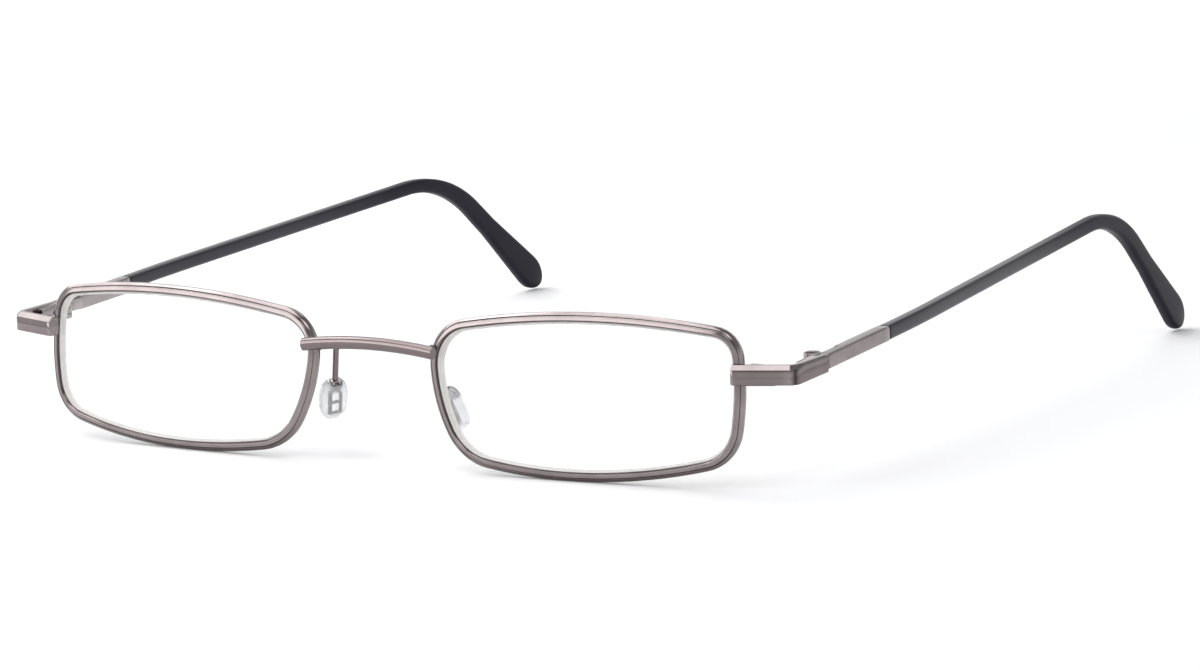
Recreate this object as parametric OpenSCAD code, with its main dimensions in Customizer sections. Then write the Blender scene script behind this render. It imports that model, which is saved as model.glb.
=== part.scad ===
// Metal-framed reading glasses, open and standing on the rims and temple tips.
// Millimetres. The wearer looks along -Y, the wearer's left is +X, and +Z is up.

/* [Lenses] */
// Width of each lens opening
lens_w = 48; // [46:0.5:50]
// Height of each lens opening
lens_h = 21.7; // [21:0.1:23]
// Gap between the two lens openings
bridge_gap = 22.4; // [21:0.2:24]
// Thickness of the lens at its centre
lens_t = 2.0; // [1.8:0.1:2.4]
// Radius of the lens's front surface
lens_front_r = 130; // [120:5:150]
// Radius of the lens's back surface
lens_back_r = 260; // [230:10:320]
// Clearance between the lens's edge and the eyewire's lips
lens_gap = 0.1; // [0.08:0.01:0.14]
// Height of the bevel that sits in the eyewire's groove
bevel_h = 0.34; // [0.25:0.01:0.38]
// Thickness of that bevel
bevel_t = 0.44; // [0.36:0.02:0.48]

/* [Eyewires] */
// Thickness of the eyewire across its rim, seen from the front
rim_t = 1.4; // [1.25:0.05:1.7]
// Depth of the eyewire from front to back
rim_d = 1.6; // [1.5:0.05:2]
// Radius on the eyewire's outer edges
rim_round = 0.34; // [0.3:0.02:0.55]
// Radius on the lips beside the groove
lip_round = 0.18; // [0.1:0.02:0.25]
// Depth of the lens groove
groove_h = 0.46; // [0.42:0.02:0.55]
// Width of the lens groove
groove_w = 0.64; // [0.62:0.02:0.8]
// Radius of the curve that the eyewire follows across the face
base_r = 223; // [180:1:260]
// Turn of each rim round the face, in degrees
wrap = 3.8; // [2:0.1:6]
// Lean of the rims towards the temples at the top, in degrees
lean = 3.6; // [2:0.1:5]
// Saw cut in the eyewire, where the closing blocks meet
rim_cut = 0.2; // [0.15:0.05:0.3]
// Height of that cut above the lens centre
cut_z = 4.3; // [4:0.1:4.6]

/* [Eyewire outline] */
// Radius of the top edge
top_r = 130; // [110:1:150]
// Radius of the bottom edge
bottom_r = 91; // [80:1:110]
// Radius of the outer side
outer_r = 37.7; // [34:0.1:42]
// Radius of the side next to the nose
nasal_r = 22.9; // [21:0.1:26]
// Distance of the top edge's crest from the lens centre, outwards
top_crest = 3.5; // [2:0.1:5]
// Distance of the bottom edge's lowest point from the centre, inwards
bottom_crest = 2.3; // [1:0.1:3.5]
// Height of the widest point of the outer side above the lens centre
outer_crest = 1.9; // [1:0.1:3]
// Height of the widest point of the nose side above the lens centre
nasal_crest = 5.1; // [4:0.1:6]
// Radius of the outline's top corner next to the temple
corner_top_outer = 3.5; // [3:0.1:5]
// Radius of the top corner next to the nose
corner_top_nasal = 5.4; // [4.5:0.1:6.5]
// Radius of the bottom corner next to the nose
corner_bottom_nasal = 7.8; // [6.5:0.1:9]
// Radius of the bottom corner next to the temple
corner_bottom_outer = 5.4; // [4.5:0.1:6.5]

/* [Bridge] */
// Radius of the bridge wire
bridge_r = 0.86; // [0.75:0.02:1]
// Height of the bridge's ends above the lens centre
bridge_z = 5.1; // [4.5:0.1:5.8]
// Rise of the bridge's arch
bridge_arch = 0.8; // [0.5:0.1:1.5]
// How far each end reaches past the lens opening's edge
bridge_lap = 0.1; // [0:0.05:0.3]

/* [Endpieces] */
// Thickness of the endpiece bar
bar_t = 1.4; // [1.2:0.05:1.6]
// Height of the bar over the rim
bar_h = 2.85; // [2.6:0.05:3]
// Height of the bar at the temple
bar_end_h = 2.55; // [2.45:0.05:2.65]
// How far the bar's outer face lies outside the lens opening
bar_out = 9.3; // [8.8:0.1:10]
// Slant of the bar's front run, in degrees
bar_slant = 19.5; // [17:0.5:22]
// Outer radius of the bar's corner
bar_corner_r = 1.6; // [1.55:0.05:2]
// Rise of the bar's top edge from the front run to the temple
bar_top_rise = 0.06; // [0.02:0.02:0.1]
// Bevel along the top of the front run
bar_bevel = 0.7; // [0.5:0.05:0.8]
// Bevel along the top of the return
bar_end_bevel = 0.3; // [0.2:0.05:0.4]
// Distance from the corner back to the temple
bar_return = 8.7; // [8.2:0.1:9.4]
// Gap of a soldered or butted joint
joint_gap = 0.05; // [0.03:0.01:0.06]

/* [Closing blocks] */
// Length of the wedge-shaped block outwards from the rim
block_l = 4.3; // [4:0.1:4.6]
// Depth of the block behind the bar, at the rim
block_d = 2.6; // [2.5:0.05:3]
// Height of the upper block
block_up = 1.35; // [1.2:0.05:1.5]
// Height of the lower block
block_down = 1.3; // [1.2:0.05:1.4]
// Shank radius of the closing screw
lock_r = 0.5; // [0.4:0.02:0.54]
// Head radius of the closing screw
lock_head_r = 0.82; // [0.75:0.01:0.86]
// Distance of the closing screw outwards from the rim
lock_out = 1.4; // [1.3:0.05:1.5]
// Distance of the closing screw behind the bar
lock_back = 1.05; // [1:0.05:1.15]
// Clearance round the closing screw
lock_gap = 0.05; // [0.03:0.01:0.06]
// Height of the closing screw's head
lock_head_h = 0.4; // [0.3:0.05:0.5]

/* [Hinges] */
// Height of the hinge's middle above the saw cut in the eyewire
hinge_up = 0.72; // [0.66:0.02:0.8]
// Height of the hinge barrel
hinge_h = 2.5; // [2.4:0.05:2.6]
// Radius of the barrel
barrel_r = 1.25; // [1.2:0.01:1.27]
// Height of the middle knuckle
knuckle_h = 0.86; // [0.8:0.02:0.9]
// Gap between the knuckles
knuckle_gap = 0.05; // [0.03:0.01:0.07]
// Shank radius of the hinge screw
pin_r = 0.56; // [0.5:0.01:0.6]
// Radial running clearance of the hinge screw
pin_gap = 0.04; // [0.02:0.01:0.06]
// Head radius of the hinge screw
head_r = 0.9; // [0.85:0.01:0.94]
// Height of the screw's head
head_h = 0.26; // [0.2:0.02:0.3]
// Gap between the barrel and the faces that swing past it
swing_gap = 0.1; // [0.08:0.01:0.14]
// Length of each hinge leaf from the axis
leaf_l = 5.2; // [4.8:0.1:5.5]
// Thickness of the leaves
leaf_t = 0.9; // [0.8:0.02:0.94]
// Distance of the hinge axis behind the butt joint
axis_back = 0.2; // [0.15:0.05:0.3]

/* [Temples] */
// Width of the temple, measured across the head
temple_w = 2.15; // [2:0.05:2.4]
// Height of the temple
temple_h = 2.2; // [2:0.05:2.4]
// Radius on the temple's edges
temple_round = 0.36; // [0.25:0.02:0.5]
// Rise of the temples towards the ears when the glasses stand, in degrees
rise = 3.4; // [3:0.1:3.8]
// Length of bare metal behind the hinge axis
bare_l = 18.1; // [17:0.1:20]
// Turn of the temples towards the head, in degrees
turn_in = 3.6; // [2.5:0.1:4]
// Length over which the temple turns in
turn_l = 17; // [14:0.5:20]
// Distance from the hinge axis to the start of the bend
bend_at = 92.2; // [90:0.2:95]
// Radius of the bend over the ear
bend_r = 26; // [24:0.5:28]
// Angle of the bend, in degrees
bend_a = 43.1; // [41:0.1:45]
// Height of the tip at its widest
tip_h = 5.6; // [5.2:0.1:6]
// Thickness of the tip
tip_w = 1.95; // [1.8:0.05:2.1]
// Width of the core wire inside the sleeve
core_w = 1.2; // [1:0.05:1.3]
// Height of the core wire
core_h = 1.0; // [0.8:0.05:1.1]
// Distance that the core wire stops short of the tip
core_short = 9; // [8:0.5:12]
// Clearance round the core wire
core_gap = 0.05; // [0.03:0.01:0.08]
// Radius on the core wire's edges
core_round = 0.15; // [0.1:0.01:0.2]

/* [Nose pads] */
// Radius of the pad arm's wire
arm_r = 0.45; // [0.4:0.01:0.5]
// Height of the arm's root above the lens centre
arm_root_z = 4.5; // [4:0.1:5]
// Distance of the pad's centre from the middle of the glasses
pad_x = 10.64; // [10.2:0.02:11.2]
// Distance of the pad's centre behind the lens centre
pad_y = 4.87; // [4.6:0.01:5.4]
// Height of the pad's centre below the lens centre
pad_down = 4.1; // [3.8:0.1:4.4]
// Turn of the pad about the vertical, in degrees
pad_turn = 28; // [22:1:30]
// Splay of the pad, in degrees
pad_splay = 20; // [16:1:22]
// Forward tip of the pad, in degrees
pad_tip = 6; // [3:1:8]
// Length of the pad
pad_l = 7.0; // [6.8:0.1:7.6]
// Width of the pad
pad_w = 4.4; // [4.2:0.1:4.8]
// Thickness of the pad
pad_t = 2.9; // [2.7:0.1:3.1]
// Height of the rocking axis above the pad's centre
eye_z = 2.5; // [2.4:0.05:2.6]
// Reach of the insert plate below the pad's centre
insert_low = 2.2; // [2:0.05:2.4]
// Gap between the insert plate and the box above it
insert_gap = 0.15; // [0.12:0.01:0.2]
// Width of the insert plate
insert_w = 2.0; // [1.9:0.1:2.2]
// Thickness of the insert plate
insert_t = 0.35; // [0.3:0.05:0.45]
// Clearance between the insert and the pad moulded round it
mould_gap = 0.03; // [0.02:0.01:0.05]
// Height of the box that holds the insert's eye
box_h = 1.4; // [1.3:0.05:1.5]
// Thickness of the box's two cheeks
cheek_t = 0.35; // [0.3:0.05:0.4]
// Gap between the eye and the cheeks of the box
eye_gap = 0.05; // [0.03:0.01:0.07]
// Radius of the eye on the insert
eye_r = 0.55; // [0.5:0.01:0.6]
// Thickness of that eye
eye_t = 0.6; // [0.5:0.05:0.7]
// Shank radius of the pad screw
pad_pin_r = 0.28; // [0.24:0.01:0.3]
// Radial running clearance of the pad screw
pad_pin_gap = 0.03; // [0.02:0.01:0.05]
// Head radius of the pad screw
pad_head_r = 0.5; // [0.45:0.01:0.55]
// Length of the arm's straight rod above the box
rod_l = 4.9; // [4.6:0.1:5.2]
// Room for the pad to rock round the box
rock_gap = 0.35; // [0.3:0.05:0.4]

/* [Hidden] */

gunmetal = "#6f6c70";
steel = "#9a979a";
clear_lens = [0.85, 0.9, 0.92, 0.35];
sleeve_black = "#2b2b30";
clear_silicone = [0.9, 0.9, 0.9, 0.5];

// Smooth circles for everything that turns or fits
round_fn = 48;
// Sphere facets that keep the lens surfaces within 20 microns
lens_fn = 240;

lens_x = (bridge_gap + lens_w) / 2;

// Angle of a direction, from 0 to 360 degrees
function heading(v) = (atan2(v.y, v.x) + 360) % 360;

// Point at distance d1 from c1 and d2 from c2, the one nearer to a given corner
function meet(c1, d1, c2, d2, corner) =
    let (
        v = c2 - c1,
        d = norm(v),
        along = (d1 * d1 - d2 * d2 + d * d) / (2 * d),
        off = sqrt(d1 * d1 - along * along),
        foot = c1 + along * v / d,
        side = [-v.y, v.x] / d * off,
        one = foot + side,
        two = foot - side
    )
    norm(one - corner) < norm(two - corner) ? one : two;

// Stations [x, z, normal x, normal z] along an arc
function arc(c, r, from, to, steps) = [
    for (i = [0 : steps])
        let (a = from + (to - from) * i / steps)
        [c.x + r * cos(a), c.y + r * sin(a), cos(a), sin(a)]
];

outer_c = [lens_w / 2 - outer_r, outer_crest];
top_c = [top_crest, lens_h / 2 - top_r];
nasal_c = [nasal_r - lens_w / 2, nasal_crest];
bottom_c = [-bottom_crest, bottom_r - lens_h / 2];

top_outer_c = meet(outer_c, outer_r - corner_top_outer, top_c, top_r - corner_top_outer,
    [lens_w, lens_h] / 2);
top_nasal_c = meet(top_c, top_r - corner_top_nasal, nasal_c, nasal_r - corner_top_nasal,
    [-lens_w, lens_h] / 2);
bottom_nasal_c = meet(nasal_c, nasal_r - corner_bottom_nasal,
    bottom_c, bottom_r - corner_bottom_nasal, [-lens_w, -lens_h] / 2);
bottom_outer_c = meet(bottom_c, bottom_r - corner_bottom_outer,
    outer_c, outer_r - corner_bottom_outer, [lens_w, -lens_h] / 2);

// Angle on the outer side at a height above the lens centre
function side_angle(z) = asin((z - outer_crest) / outer_r);

// The edge of the lens opening, from the saw cut over the top and back to the cut
rim_line = concat(
    arc(outer_c, outer_r, side_angle(cut_z + rim_cut / 2), heading(top_outer_c - outer_c), 2),
    arc(top_outer_c, corner_top_outer,
        heading(top_outer_c - outer_c), heading(top_outer_c - top_c), 8),
    arc(top_c, top_r, heading(top_outer_c - top_c), heading(top_nasal_c - top_c), 13),
    arc(top_nasal_c, corner_top_nasal,
        heading(top_nasal_c - top_c), heading(top_nasal_c - nasal_c), 8),
    arc(nasal_c, nasal_r, heading(top_nasal_c - nasal_c), heading(bottom_nasal_c - nasal_c), 5),
    arc(bottom_nasal_c, corner_bottom_nasal,
        heading(bottom_nasal_c - nasal_c), heading(bottom_nasal_c - bottom_c), 9),
    arc(bottom_c, bottom_r,
        heading(bottom_nasal_c - bottom_c), heading(bottom_outer_c - bottom_c), 11),
    arc(bottom_outer_c, corner_bottom_outer,
        heading(bottom_outer_c - bottom_c), heading(bottom_outer_c - outer_c), 8),
    arc(outer_c, outer_r, heading(bottom_outer_c - outer_c),
        360 + side_angle(cut_z - rim_cut / 2), 6)
);

// The same line without the double stations where two arcs meet
function no_doubles(line) = [
    for (i = [0 : len(line) - 1])
        if (i == 0 || norm([line[i].x - line[i - 1].x, line[i].y - line[i - 1].y]) > 0.001)
            line[i]
];
rim_stations = no_doubles(rim_line);

// Points of a rounded corner in a section, from one angle to another
function corner(x, y, r, from, steps) = [
    for (i = [0 : steps]) [x + r * cos(from + 90 * i / steps), y + r * sin(from + 90 * i / steps)]
];

// The groove narrows towards its bottom by this much on each side
groove_taper = 0.05;

// Section of the eyewire: x runs outwards from the opening, y from front to back
rim_profile = concat(
    corner(rim_t - rim_round, rim_d / 2 - rim_round, rim_round, 0, 3),
    corner(lip_round, rim_d / 2 - lip_round, lip_round, 90, 1),
    [[0, groove_w / 2], [groove_h, groove_w / 2 - groove_taper]],
    [[groove_h, groove_taper - groove_w / 2], [0, -groove_w / 2]],
    corner(lip_round, lip_round - rim_d / 2, lip_round, 180, 1),
    corner(rim_t - rim_round, rim_round - rim_d / 2, rim_round, 270, 3)
);

// How far the curved face lies behind the lens centre at a place on the rim
function face_y(x, z) = (x * x + z * z) / (2 * base_r);

// A section point at a rim station, turned square to the curved face
function rim_point(s, p) =
    let (
        slope = (s[0] * s[2] + s[1] * s[3]) / base_r,
        c = 1 / sqrt(1 + slope * slope),
        out = p.x * c - p.y * slope * c,
        back = p.x * slope * c + p.y * c
    )
    [s[0] + s[2] * out, face_y(s[0], s[1]) + back, s[1] + s[3] * out];

// A point of the left lens's own frame, seen from the middle of the glasses
function lens_to_front(p) =
    let (
        x = lens_x + p.x * cos(wrap) - p.y * sin(wrap),
        y = p.x * sin(wrap) + p.y * cos(wrap)
    )
    [x, y * cos(lean) + p.z * sin(lean), p.z * cos(lean) - y * sin(lean)];

rim_low = min([for (s = rim_stations) for (p = rim_profile) lens_to_front(rim_point(s, p)).z]);
// Height of the lens centres above the surface that the glasses stand on
front_z = -rim_low;

// Triangles between rings of equal count, with a face at each end
function ring_faces(n, m) = [
    for (i = [0 : n - 2]) for (j = [0 : m - 1])
        let (k = (j + 1) % m)
        each [
            [i * m + j, i * m + k, (i + 1) * m + k],
            [i * m + j, (i + 1) * m + k, (i + 1) * m + j]
        ]
];
function count_up(first, m) = [for (j = [0 : m - 1]) first + j];
function count_down(first, m) = [for (j = [m - 1 : -1 : 0]) first + j];

module skin(rings) {
    m = len(rings[0]);
    n = len(rings);
    polyhedron(
        [for (r = rings) each r],
        concat([count_down(0, m)], ring_faces(n, m), [count_up((n - 1) * m, m)])
    );
}

// A tube with one open end: the outer and the inner skin start at the mouth
module hollow_skin(outer, inner) {
    m = len(outer[0]);
    n = len(outer);
    k = len(inner);
    first = n * m;
    mouth = [
        for (j = [0 : m - 1])
            let (q = (j + 1) % m)
            each [[j, first + q, q], [j, first + j, first + q]]
    ];
    inside = [for (f = ring_faces(k, m)) [first + f[0], first + f[2], first + f[1]]];
    polyhedron(
        concat([for (r = outer) each r], [for (r = inner) each r]),
        concat(ring_faces(n, m), mouth, inside,
            [count_up((n - 1) * m, m)], [count_down(first + (k - 1) * m, m)])
    );
}

// Section of a bar: x outwards, z up, with rounded edges
function bar_section(w, h, r, steps = 3) = concat(
    corner(w / 2 - r, h / 2 - r, r, 0, steps),
    corner(r - w / 2, h / 2 - r, r, 90, steps),
    corner(r - w / 2, r - h / 2, r, 180, steps),
    corner(w / 2 - r, r - h / 2, r, 270, steps)
);

// Left half as drawn, right half as its mirror image
module on_side(side) {
    mirror([side < 0 ? 1 : 0, 0, 0]) children();
}

// Places what is drawn in the left lens's frame: x outwards, y back, z up
module on_lens() {
    translate([0, 0, front_z])
        rotate([-lean, 0, 0])
            translate([lens_x, 0, 0])
                rotate([0, 0, wrap])
                    children();
}

function reversed(list) = [for (i = [len(list) - 1 : -1 : 0]) list[i]];

module eyewire(side) {
    color(gunmetal) on_side(side) on_lens()
        skin([for (s = rim_stations) [for (p = reversed(rim_profile)) rim_point(s, p)]]);
}

// The opening's outline, moved outwards by a distance
function lens_outline(out) = [for (s = rim_stations) [s[0] + s[2] * out, s[1] + s[3] * out]];

// Straight prism of an outline, along y
module lens_prism(out, y1, y2) {
    translate([0, y2, 0]) rotate([90, 0, 0]) linear_extrude(y2 - y1) polygon(lens_outline(out));
}

// Distance of the lens's front vertex ahead of the rim's curve, which centres its edge
function sag(r, x) = x * x / (2 * r);
edge_reach = lens_w / 2;
vertex_y = sag(base_r, edge_reach)
    - (sag(lens_front_r, edge_reach) + sag(lens_back_r, edge_reach) + lens_t) / 2;

// Solid between two curved faces that bulge towards -y
module between_faces(front_y, front_r, back_y, back_r) {
    difference() {
        translate([0, front_y + front_r, 0]) sphere(r = front_r, $fn = lens_fn);
        translate([0, back_y + back_r, 0]) sphere(r = back_r, $fn = lens_fn);
    }
}

module lens(side) {
    lens_reach = 6;
    color(clear_lens) on_side(side) on_lens() {
        intersection() {
            lens_prism(-lens_gap, -lens_reach, lens_reach);
            between_faces(vertex_y, lens_front_r, vertex_y + lens_t, lens_back_r);
        }
        intersection() {
            lens_prism(bevel_h, -lens_reach, lens_reach);
            between_faces(-bevel_t / 2, base_r, bevel_t / 2, base_r);
        }
    }
}

// The bridge is soldered on the fronts of both rims
bridge_end = bridge_gap / 2 + bridge_lap;
rim_mid_x = -lens_w / 2 - rim_t / 2;
bridge_seat = lens_to_front([rim_mid_x, face_y(rim_mid_x, bridge_z) - rim_d / 2, bridge_z]);
bridge_y = bridge_seat.y - bridge_r - joint_gap;
bridge_sides = 14;
round_tip = [80, 60, 40, 20];
bridge_steps = 12;
function bridge_ring(x, r) = [
    for (j = [0 : bridge_sides - 1])
        let (a = -360 * j / bridge_sides)
        [x, bridge_y + r * cos(a),
            front_z + bridge_seat.z + bridge_arch * (1 - pow(x / bridge_end, 2)) + r * sin(a)]
];
bridge_rings = concat(
    [for (a = round_tip) bridge_ring(-bridge_end + bridge_r * (1 - sin(a)), bridge_r * cos(a))],
    [for (i = [0 : bridge_steps])
        bridge_ring((bridge_end - bridge_r) * (2 * i / bridge_steps - 1), bridge_r)],
    [for (a = reversed(round_tip))
        bridge_ring(bridge_end - bridge_r * (1 - sin(a)), bridge_r * cos(a))]
);

module bridge() {
    color(gunmetal) skin(bridge_rings);
}

// Plan of the endpiece: the outer face runs back from the corner to the temple
outer_x = lens_x + lens_w / 2 + bar_out;
axis_x = outer_x - bar_t - swing_gap - barrel_r;
rim_side_x = lens_w / 2 + rim_t;
rim_side = lens_to_front([rim_side_x, face_y(rim_side_x, cut_z) - rim_d / 2, cut_z]);
// How far the bar laps over the rim's front, and how far round the rim's edge it is soldered
bar_lap = 1.25;
rim_edge_share = 0.35;
bar_start_x = lens_to_front([rim_side_x - bar_lap, face_y(lens_w / 2, cut_z), cut_z]).x;
// The bar's back face just clears the front of the rim at the rim's outer edge
bar_back_y = rim_side.y - rim_round * rim_edge_share - joint_gap;
bar_mid_offset = bar_t / 2;

// The centre line's corner, where the front run meets the return
return_x = outer_x - bar_mid_offset;
front_x = rim_side.x - rim_round;
corner_y = bar_back_y - bar_mid_offset / cos(bar_slant) + (return_x - front_x) * tan(bar_slant);
bar_bend_r = bar_corner_r - bar_mid_offset;
bar_bend_a = 90 - bar_slant;
bar_bend_cut = bar_bend_r * tan(bar_bend_a / 2);
seam_y = corner_y + bar_return;
axis_y = seam_y + axis_back;
cut_level = front_z + rim_side.z;
axis_z = cut_level + hinge_up;
bar_top_z = axis_z + temple_h / 2 - bar_top_rise;

// Stations of the bar: [x, y, heading, height of the bottom, height of the top, bevel]
bend_centre = [return_x - bar_bend_r, corner_y + bar_bend_cut];
run_end = [return_x - bar_bend_cut * cos(bar_slant), corner_y - bar_bend_cut * sin(bar_slant)];
function bar_mix(y) = max(0, min(1, (y - corner_y) / bar_return));
// The big bevel fades out over this share of the return
bevel_fade = 1 / 6;
function bar_station(x, y, a) =
    let (t = bar_mix(y), top = bar_top_z + bar_top_rise * t)
    [x, y, a, top - bar_h + (bar_h - bar_end_h) * t, top,
        bar_bevel + (bar_end_bevel - bar_bevel) * min(1, t / bevel_fade)];
bar_stations = concat(
    [for (f = [0, 0.5]) bar_station(
        bar_start_x + (run_end.x - bar_start_x) * f,
        run_end.y - (run_end.x - bar_start_x) * (1 - f) * tan(bar_slant), bar_slant)],
    [for (i = [0 : 6])
        let (a = bar_slant + bar_bend_a * i / 6)
        bar_station(bend_centre.x + bar_bend_r * sin(a), bend_centre.y - bar_bend_r * cos(a), a)],
    [for (f = [0.3, 0.65, 1]) bar_station(return_x,
        bend_centre.y + (seam_y - bend_centre.y) * f, 90)]
);
// Ring of the bar: the outer face is flat below a bevelled top edge
bar_edge = 0.25;
bevel_run = 0.8;
bevel_belly = [0.3, 0.35];
function bar_ring(s) =
    let (
        out = [sin(s[2]), -cos(s[2])],
        t = bar_t / 2,
        nick = bar_edge * bevel_belly.x,
        section = [
            [t, s[3] + bar_edge], [t - nick, s[3] + nick], [t - bar_edge, s[3]],
            [bar_edge - t, s[3]], [-t, s[3] + bar_edge],
            [-t, s[4] - bar_edge], [bar_edge - t, s[4]], [t - s[5] * bevel_run, s[4]],
            [t - s[5] * bevel_belly.x, s[4] - s[5] * bevel_belly.y], [t, s[4] - s[5]]
        ]
    )
    [for (p = section) [s[0] + out.x * p.x, s[1] + out.y * p.x, p.y]];

module endpiece(side) {
    color(gunmetal) on_side(side) skin([for (s = bar_stations) reversed(bar_ring(s))]);
}

// Wedge-shaped closing block in plan, between the bar and the rim's outer side
block_x = rim_side.x + joint_gap;
function bar_back(x) = corner_y + bar_mid_offset / cos(bar_slant)
    - (return_x - x) * tan(bar_slant) + joint_gap;
block_edge = 0.3;
block_taper = 1.2;
block_back_y = bar_back(block_x) + block_d;
block_plan = [
    [block_x, bar_back(block_x)],
    [block_x + block_l, bar_back(block_x + block_l)],
    [block_x + block_l - block_taper, block_back_y - block_edge],
    [block_x + block_edge, block_back_y],
    [block_x, block_back_y - block_edge]
];
lock_at = [block_x + lock_out, bar_back(block_x + lock_out) + lock_back];
// Screw ends stop this far inside the face they come out at
end_recess = 0.1;

module block(side, low, high) {
    on_side(side) difference() {
        translate([0, 0, low]) linear_extrude(high - low) polygon(block_plan);
        translate([lock_at.x, lock_at.y, low - 1])
            cylinder(r = lock_r + lock_gap, h = high - low + 2, $fn = round_fn);
        translate([lock_at.x, lock_at.y, cut_level - rim_cut / 2 - block_down - 1])
            cylinder(r = lock_head_r + lock_gap, h = 1 + lock_head_h, $fn = round_fn);
    }
}

module closing_block_upper(side) {
    color(gunmetal) block(side, cut_level + rim_cut / 2, cut_level + rim_cut / 2 + block_up);
}

module closing_block_lower(side) {
    color(gunmetal) block(side, cut_level - rim_cut / 2 - block_down, cut_level - rim_cut / 2);
}

module closing_screw(side) {
    slot_w = 0.22;
    slot_h = 0.14;
    bottom = cut_level - rim_cut / 2 - block_down;
    color(steel) on_side(side) translate([lock_at.x, lock_at.y, bottom]) difference() {
        union() {
            cylinder(r = lock_head_r, h = lock_head_h - lock_gap, $fn = round_fn);
            cylinder(r = lock_r, h = block_down + rim_cut + block_up - end_recess, $fn = round_fn);
        }
        translate([-lock_head_r, -slot_w / 2, -1]) cube([2 * lock_head_r, slot_w, 1 + slot_h]);
    }
}

// Places what is drawn about the hinge axis: x outwards, y along the temple, z up
module on_hinge(side) {
    on_side(side) translate([axis_x, axis_y, axis_z]) rotate([rise, 0, 0]) children();
}

leaf_x = barrel_r + swing_gap - joint_gap;
leaf_clear = barrel_r + swing_gap;
pin_bore_r = pin_r + pin_gap;
head_gap = 0.04;
head_sink = 0.02;
leaf_edge = 0.3;

// A leaf soldered on the inner face of the bar, along +y or -y
module leaf(dir, height) {
    translate([leaf_x - leaf_t, dir < 0 ? -leaf_l : 0, -height / 2]) cube([leaf_t, leaf_l, height]);
}

module front_hinge(side) {
    slot_h = knuckle_h + 2 * knuckle_gap;
    color(gunmetal) on_hinge(side) difference() {
        union() {
            translate([0, 0, -hinge_h / 2]) cylinder(r = barrel_r, h = hinge_h, $fn = round_fn);
            leaf(-1, hinge_h - leaf_edge);
        }
        translate([0, 0, -slot_h / 2]) cylinder(r = leaf_clear, h = slot_h, $fn = round_fn);
        translate([-leaf_clear, 0, -slot_h / 2]) cube([2 * leaf_clear, leaf_clear, slot_h]);
        translate([0, 0, -hinge_h]) cylinder(r = pin_bore_r, h = 2 * hinge_h, $fn = round_fn);
        translate([0, 0, hinge_h / 2 - head_h])
            cylinder(r = head_r + head_gap, h = hinge_h, $fn = round_fn);
    }
}

module temple_hinge(side) {
    color(gunmetal) on_hinge(side) difference() {
        union() {
            translate([0, 0, -knuckle_h / 2]) cylinder(r = barrel_r, h = knuckle_h, $fn = round_fn);
            leaf(1, knuckle_h);
            translate([leaf_x - leaf_t, leaf_clear + swing_gap, leaf_edge - temple_h / 2])
                cube([leaf_t, leaf_l - leaf_clear - swing_gap, temple_h - 2 * leaf_edge]);
        }
        translate([0, 0, -hinge_h]) cylinder(r = pin_bore_r, h = 2 * hinge_h, $fn = round_fn);
    }
}

module hinge_screw(side) {
    slot_w = 0.24;
    slot_h = 0.12;
    slot_turn = 35;
    color(steel) on_hinge(side) difference() {
        union() {
            translate([0, 0, end_recess - hinge_h / 2])
                cylinder(r = pin_r, h = hinge_h - 2 * end_recess, $fn = round_fn);
            translate([0, 0, hinge_h / 2 - head_h + head_gap])
                cylinder(r = head_r, h = head_h - head_gap - head_sink, $fn = round_fn);
        }
        rotate([0, 0, slot_turn])
            translate([-head_r, -slot_w / 2, hinge_h / 2 - head_sink - slot_h])
                cube([2 * head_r, slot_w, 1]);
    }
}

// The temple's centre line by distance t from the hinge axis
temple_x = outer_x - axis_x - temple_w / 2;
turn_r = turn_l / (turn_in * PI / 180);
bend_len = bend_r * bend_a * PI / 180;
bend_end = bend_at + bend_len;
tip_r = tip_h / 2;
bend_end_z = bend_r * (cos(bend_a) - 1);
function turn_at(t) = turn_in * max(0, min(1, (t - bare_l) / turn_l));
function drop_at(t) = bend_a * max(0, min(1, (t - bend_at) / bend_len));
// Distance along the ground of the leaning plane, and height, at t
function run_at(t) = min(t, bend_at) + bend_r * sin(drop_at(t)) + max(0, t - bend_end) * cos(bend_a);
function height_at(t) = bend_r * (cos(drop_at(t)) - 1) - max(0, t - bend_end) * sin(bend_a);
function plan_at(t) =
    let (q = run_at(t), a = turn_at(t), rest = max(0, q - bare_l - turn_l))
    q < bare_l ? [temple_x, q] : [
        temple_x - turn_r * (1 - cos(a)) - rest * sin(turn_in),
        bare_l + turn_r * sin(a) + rest * cos(turn_in)
    ];
// A section point at distance t
function temple_point(t, p) =
    let (c = plan_at(t), a = turn_at(t), d = drop_at(t))
    [
        c.x + p.x * cos(a) - p.y * sin(d) * sin(a),
        c.y + p.x * sin(a) + p.y * sin(d) * cos(a),
        height_at(t) + p.y * cos(d)
    ];
// World height of the centre line at the end of the bend, and the tail that reaches the ground
bend_end_low = axis_z + plan_at(bend_end).y * sin(rise) + bend_end_z * cos(rise);
tail_slope = sin(bend_a) * cos(rise) - cos(bend_a) * cos(turn_in) * sin(rise);
tail_l = (bend_end_low - tip_r) / tail_slope;
temple_end = bend_end + tail_l;

function ease(x) = x * x * (3 - 2 * x);
function share(t, from, to) = max(0, min(1, (t - from) / (to - from)));
// The sleeve widens to a paddle, to a share of its height just behind the bend
paddle_at = bend_at + bend_len * 1.3;
paddle_share = 0.62;
// Radius on the tip's edges as a share of its thickness
tip_edge = 0.42;
function sleeve_h(t) = temple_h
    + (tip_h * paddle_share - temple_h) * ease(share(t, bend_at, paddle_at))
    + tip_h * (1 - paddle_share) * share(t, paddle_at, temple_end);
function sleeve_w(t) = temple_w + (tip_w - temple_w) * ease(share(t, bend_at, paddle_at));
function sleeve_r(t) = temple_round
    + (tip_w * tip_edge - temple_round) * ease(share(t, bend_at, paddle_at));
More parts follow.
